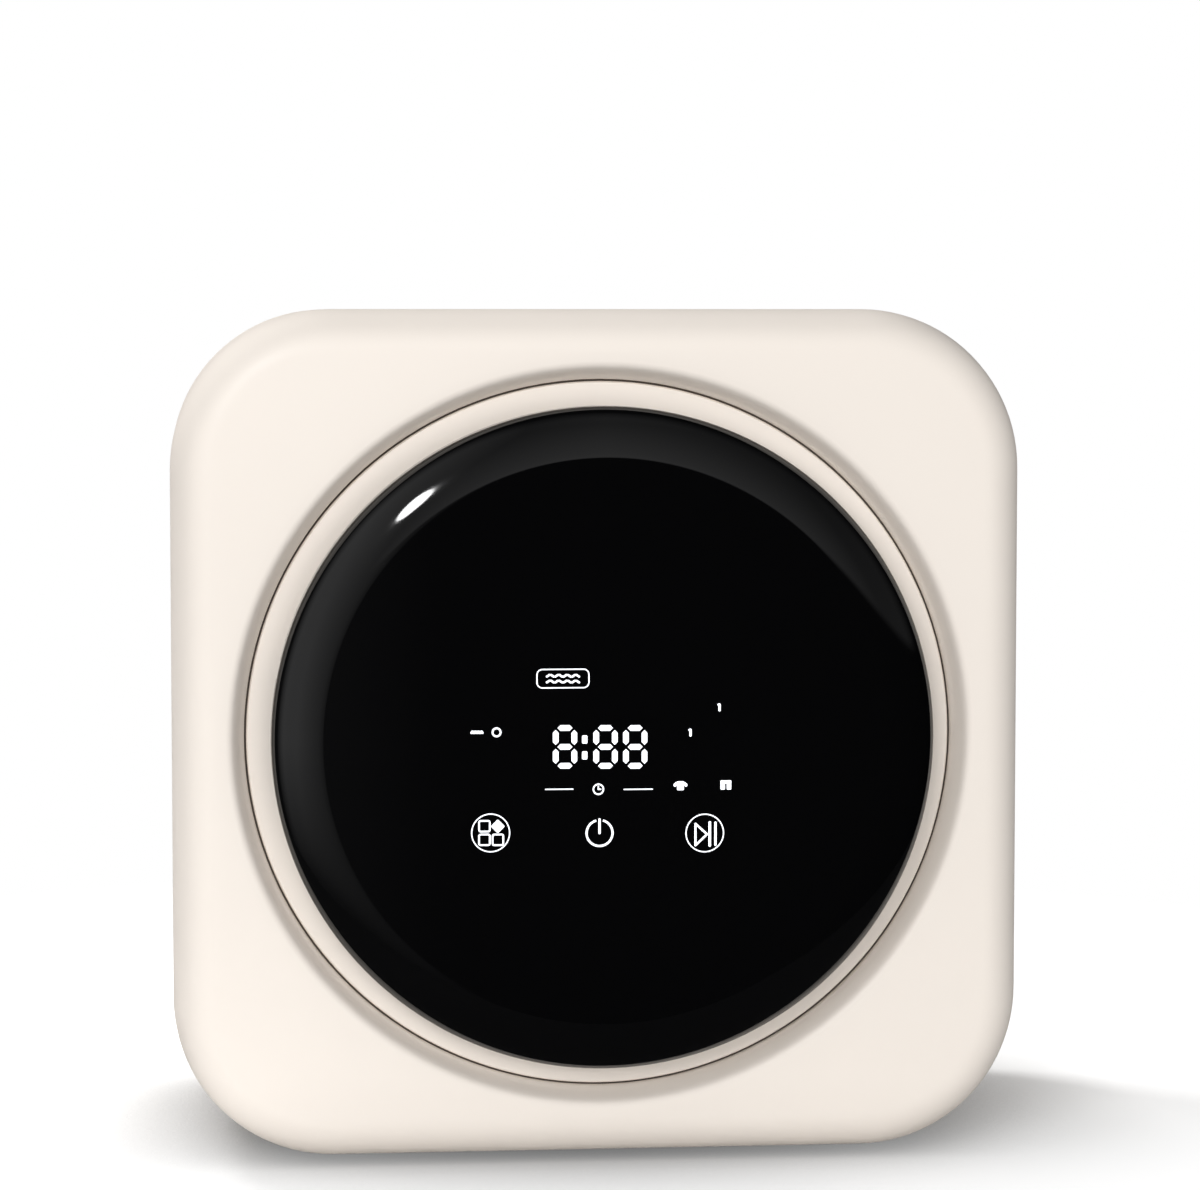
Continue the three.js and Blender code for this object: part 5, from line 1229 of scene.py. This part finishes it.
def white_floor():
    """A floor that keeps the machine's shadow and, for the camera, a painted contact shadow near the body; it is
    white to the camera and nearly black in mirrors.
    """
    begin()
    bpy.ops.mesh.primitive_circle_add(
        vertices=96, radius=FLOOR_R, fill_type="NGON", location=(0, FLOOR_Y, cad_low.z - 0.0002))
    floor = take("floor")
    place_in_mesh()
    material, tree, shader = shader_of("studio_floor", FLOOR_GREY, 0.7, Specular_IOR_Level=0.1)
    rays = shading(tree, "LightPath", {})
    # Painted contact shadow: for the camera, the floor darkens near the body by ambient occlusion.
    painted_contact_shade = shading(tree, "AmbientOcclusion", {"Distance": PAINTED_SHADE_REACH}, samples=8)["AO"]
    bright = product(tree, combined(tree, "POWER", painted_contact_shade, PAINTED_SHADE_DEPTH), FLOOR_SEEN)
    seen = shading(tree, "Mix", {
        "Factor": rays["Is Camera Ray"], "A": (*FLOOR_GREY, 1.0), "B": bright}, data_type="RGBA")
    tree.links.new(seen["Result"], shader.inputs["Base Color"])
    place = shading(tree, "TexCoord", {})["Object"]
    place = shading(tree, "Mapping", {"Vector": place, "Location": (0, -FLOOR_Y, -cad_low.z)})
    away = shading(tree, "VectorMath", {0: place["Vector"]}, operation="LENGTH")["Value"]
    fade = shading(tree, "MapRange", {
        "Value": away, "From Min": FLOOR_R * FLOOR_FADE[0], "From Max": FLOOR_R * FLOOR_FADE[1],
    }, interpolation_type="SMOOTHSTEP")["Result"]
    glow = shading(tree, "Emission", {})["Emission"]
    faded = shading(tree, "MixShader", {
        0: product(tree, fade, rays["Is Camera Ray"]), 1: shader.outputs["BSDF"], 2: glow})
    lift = shading(tree, "Emission", {"Strength": product(tree, rays["Is Camera Ray"], FLOOR_LIFT)})
    lifted = shading(tree, "AddShader", {0: faded["Shader"], 1: lift["Emission"]})
    missed, left = FLOOR_MIRRORED
    dark = shading(tree, "Emission", {"Strength": left})["Emission"]
    mirrored = shading(tree, "MixShader", {
        0: product(tree, rays["Is Glossy Ray"], missed), 1: lifted["Shader"], 2: dark})
    tree.links.new(mirrored["Shader"], tree.nodes["Material Output"].inputs["Surface"])
    floor.data.materials.append(material)


def lamps():
    """Three soft lamps that only light, and a small one that only shows as the streak on the door."""
    for name, place, width, power in SOFT_LAMPS:
        area_light(name, place, (0, 0, AXIS_Z), width, width, power).visible_glossy = False
    streak = area_light("streak", STREAK_PLACE, STREAK_AIM, *STREAK_SIZE, STREAK_POWER, "ELLIPSE")
    streak.rotation_quaternion = streak.rotation_quaternion @ Quaternion((0, 0, 1), math.radians(STREAK_ROLL))
    streak.visible_diffuse = False


def room():
    """The world: white to the camera, an even dome for matt surfaces, and dim bright parts above and to the
    left for glossy ones."""
    world = bpy.data.worlds.new("room")
    bpy.context.scene.world = world
    world.use_nodes = True
    tree = world.node_tree
    direction = shading(tree, "TexCoord", {})["Generated"]
    parts = shading(tree, "SeparateXYZ", {"Vector": direction})
    across, back, up = parts["X"], parts["Y"], parts["Z"]
    above = product(
        tree, ranged(tree, up, 0.14, 0.18, 0.0, 1.0), ranged(tree, up, 0.2, 0.85, 0.7, 0.3),
        ranged(tree, across, 0.1, 0.7, 1.0, 0.3), ranged(tree, across, -0.5, 0.1, 0.3, 1.0))
    aside = product(tree, ranged(tree, across, -0.7, 0.02, 0.8, 0.0), ranged(tree, up, -0.5, -0.1, 0.1, 1.0))
    gloss = product(
        tree, combined(tree, "MAXIMUM", above, aside), ranged(tree, back, -0.28, 0.12, 1.0, 0.05))
    lean = shading(tree, "VectorMath", {0: direction, 1: (-0.6, 0.0, 0.8)}, operation="DOT_PRODUCT")
    level = ranged(tree, lean["Value"], -1.0, 1.0, 0.44, 0.52)
    rays = shading(tree, "LightPath", {})
    for ray, other in (("Is Glossy Ray", gloss), ("Is Transmission Ray", gloss), ("Is Camera Ray", 1.0)):
        level = shading(tree, "Mix", {
            "Factor": rays[ray], "A": level, "B": other}, data_type="FLOAT")["Result"]
    background = tree.nodes["Background"]
    tree.links.new(level, background.inputs["Strength"])
    background.inputs["Color"].default_value = (1, 1, 1, 1)
    bpy.context.scene.view_settings.view_transform = "Standard"


eye = camera()
PX = (door_spot(*SPAN_PX[1])[0] - door_spot(*SPAN_PX[0])[0]) / (SPAN_PX[1][0] - SPAN_PX[0][0]) * MM
finish_solids()
front_shell()
recess_ring()
seam_painted_shade_strip()
shell = door_shell()
display()
gasket()
reworked("door_lock", "lock_bezel", 0.8, "housing", "white_plastic")
reworked("hinge_bracket", "hinge_plate", 0.45, "housing", "stainless", hinge_steel)
reworked("hinge_arm", "hinge_leaf", 0.45, "door", "stainless", hinge_steel)
reworked("hinge_pin", "hinge_rod", 0.4, "housing", "stainless", hinge_steel)
drum()
reworked("spider_plate", "arm_plate", 0.9, "drum", "stainless", arm_steel)
channel()
for k in ("1", "2", "3"):
    reworked("lifter_" + k, "rib_" + k, 2.2, "drum", "tub_plastic", segments=4, angle=60)
inner_frame()
bowl()
reworked("latch_lever", "lever", 0.7, "latch", "white_plastic")
reworked("latch_pin", "lever_pin", 0.3, "latch", "stainless", hinge_steel)
screws("door_screw_", 6, "door", "stainless", hinge_steel, 3.2, 2.0)
screws("hinge_screw_", 4, "housing", "stainless", hinge_steel, 3.8, 2.2)
screws("housing_screw_", 4, "housing", "zinc_steel", None, 3.8, 2.2)
screws("spider_screw_", 3, "drum", "stainless", arm_steel, 7.0, 3.2, True)
rear_shell()
reworked("wall_bracket", "wall_plate", 0.5, "housing", "zinc_steel")
hose_ports()
for place in ("front_left", "front_right", "rear_left", "rear_right"):
    foot("foot_" + place)
white_floor()
lamps()
room()
